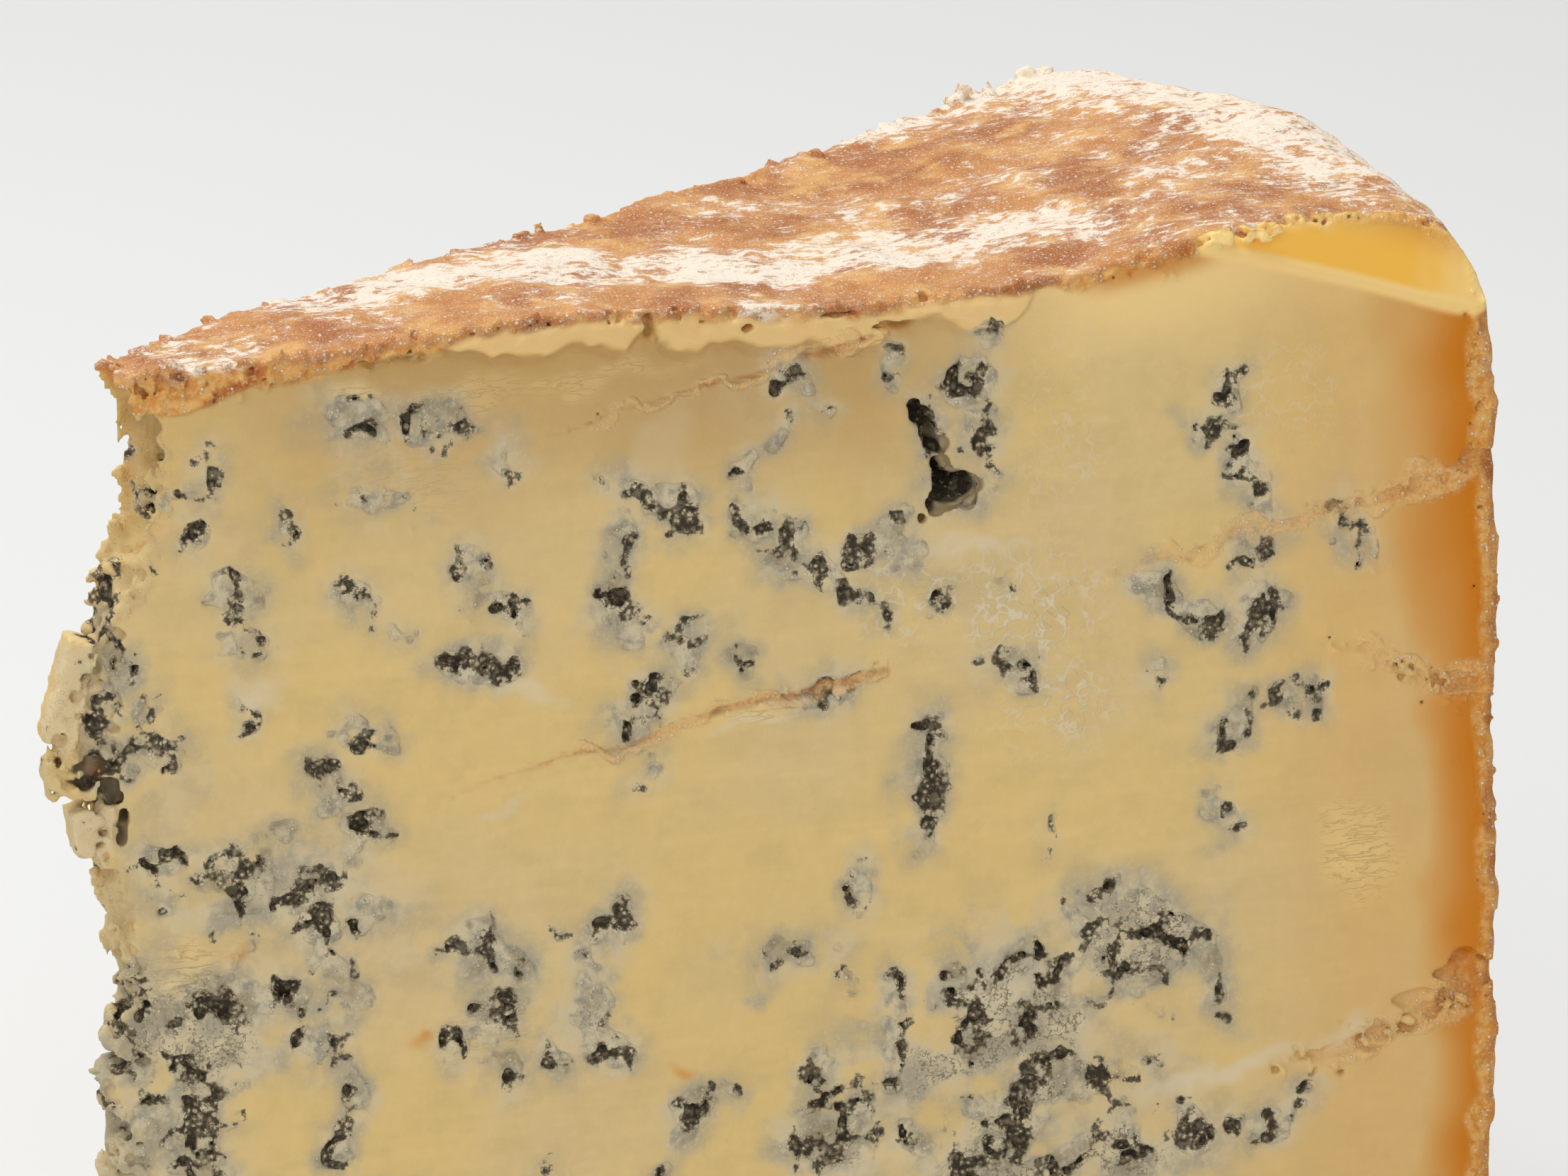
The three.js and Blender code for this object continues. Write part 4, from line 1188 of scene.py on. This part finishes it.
    rind = n.mix(n.step(n.noise(6.0, 3), 0.4, 0.64), RIND_BROWN, RIND_DARK)
    rind = n.mix(n.step(n.noise(3.4, 4), 0.46, 0.66, 0.0, 0.85), rind, RIND_LIGHT)
    rind = n.mix(n.step(n.noise(1.2, 3), 0.5, 0.7, 0.0, 0.35), rind, CRUST_RED)
    streaks = n.noise(0.7, 6, 0.75, n.stretched((0.6, 1.0, 1.0)))
    powdered = n.plus(powder, n.step(streaks, 0.2, 0.8, -0.6, 0.6))
    rind = n.mix(n.step(powdered, 0.2, 1.0, 0.0, 0.3), rind, POWDER)
    rind = n.mix(n.step(powdered, 0.6, 0.85, 0.0, 0.9), rind, POWDER)
    rind = n.mix(n.step(dust, 0.6, 0.7, 0.0, 0.6), rind, POWDER)
    rind = n.mix(n.times(dot, 0.6), rind, POWDER)
    n.plug(n.mix(crust, body, rind), n.shader.inputs["Base Color"])

    granular = n.most(n.most(crust, edge), n.most(growth, banks))
    granular = n.most(granular, n.times(broken, 0.7))
    rough = n.step(granular, 0.0, 1.0, 0.46, 0.85)
    n.plug(n.step(facet, 0.0, 1.0, rough, 0.2), n.shader.inputs["Roughness"])
    n.plug(n.step(amber, 0.1, 0.8, 0.5, 0.12), n.shader.inputs["Specular IOR Level"])
    flakes = n.step(n.noise(0.9, 3, 0.6, n.stretched((0.5, 1.0, 2.2))), 0.45, 0.55)
    height = n.times(flakes, n.times(tear, 0.1))
    height = n.plus(height, n.times(net, 0.05))
    grainy = n.times(n.plus(grains, small), n.step(granular, 0.0, 1.0, 0.03, 0.2))
    height = n.plus(height, grainy)
    height = n.plus(height, n.times(dot, n.times(granular, 0.1)))
    height = n.times(height, n.step(facet, 0.0, 1.0, 1.0, 0.25))
    n.plug(n.bump(height, 1.0), n.shader.inputs["Normal"])
    n.shader.inputs["Subsurface Weight"].default_value = 0.25
    n.shader.inputs["Subsurface Radius"].default_value = (1.0, 0.6, 0.3)
    n.shader.inputs["Subsurface Scale"].default_value = 1.6 * MM
    return n.material


cheese.data.materials.append(cheese_material())


# ---- Camera, lights and floor -------------------------------------------------------------------


def look_direction(azimuth, elevation):
    """From what is looked at to the camera."""
    a, e = math.radians(azimuth), math.radians(elevation)
    return Vector((math.sin(a) * math.cos(e), -math.cos(a) * math.cos(e), math.sin(e)))


def make_camera():
    target = Vector(FRONT.point(*AIM) * MM)
    data = bpy.data.cameras.new("camera")
    camera = bpy.data.objects.new("camera", data)
    bpy.context.scene.collection.objects.link(camera)
    towards = look_direction(AZIMUTH, ELEVATION)
    camera.location = target + towards * DISTANCE * MM
    camera.rotation_euler = (-towards).to_track_quat("-Z", "Y").to_euler()
    data.sensor_width = 36.0
    data.lens = data.sensor_width * DISTANCE / VIEW_WIDTH
    data.clip_start, data.clip_end = 0.05, 20.0
    bpy.context.scene.camera = camera


def make_light(name, place, target, size, power):
    data = bpy.data.lights.new(name, "AREA")
    data.shape = "SQUARE"
    data.size = size
    data.energy = power
    light = bpy.data.objects.new(name, data)
    bpy.context.scene.collection.objects.link(light)
    light.location = place
    light.rotation_euler = (Vector(place) - Vector(target)).to_track_quat("Z", "Y").to_euler()


def make_floor():
    side = 3.0
    mesh = bpy.data.meshes.new("floor")
    corners = [(-side, -side, 0), (side, -side, 0), (side, side, 0), (-side, side, 0)]
    mesh.from_pydata(corners, [], [(0, 1, 2, 3)])
    floor = bpy.data.objects.new("floor", mesh)
    bpy.context.scene.collection.objects.link(floor)
    pale = bpy.data.materials.new("floor")
    pale.use_nodes = True
    shader = pale.node_tree.nodes["Principled BSDF"]
    shader.inputs["Base Color"].default_value = (0.78, 0.775, 0.755, 1)
    shader.inputs["Roughness"].default_value = 0.8
    mesh.materials.append(pale)


make_camera()
make_floor()
world = bpy.data.worlds.new("world")
world.use_nodes = True
world.node_tree.nodes["Background"].inputs["Color"].default_value = (0.95, 0.97, 1.0, 1)
world.node_tree.nodes["Background"].inputs["Strength"].default_value = 0.36
bpy.context.scene.world = world
middle = (cad_low + cad_high) / 2
make_light("top", (-0.15, 0.2, 0.75), middle, 0.7, 5.4)
make_light("front", (-0.5, -1.3, 0.8), middle, 1.2, 8.6)
bpy.context.scene.view_settings.view_transform = "Standard"
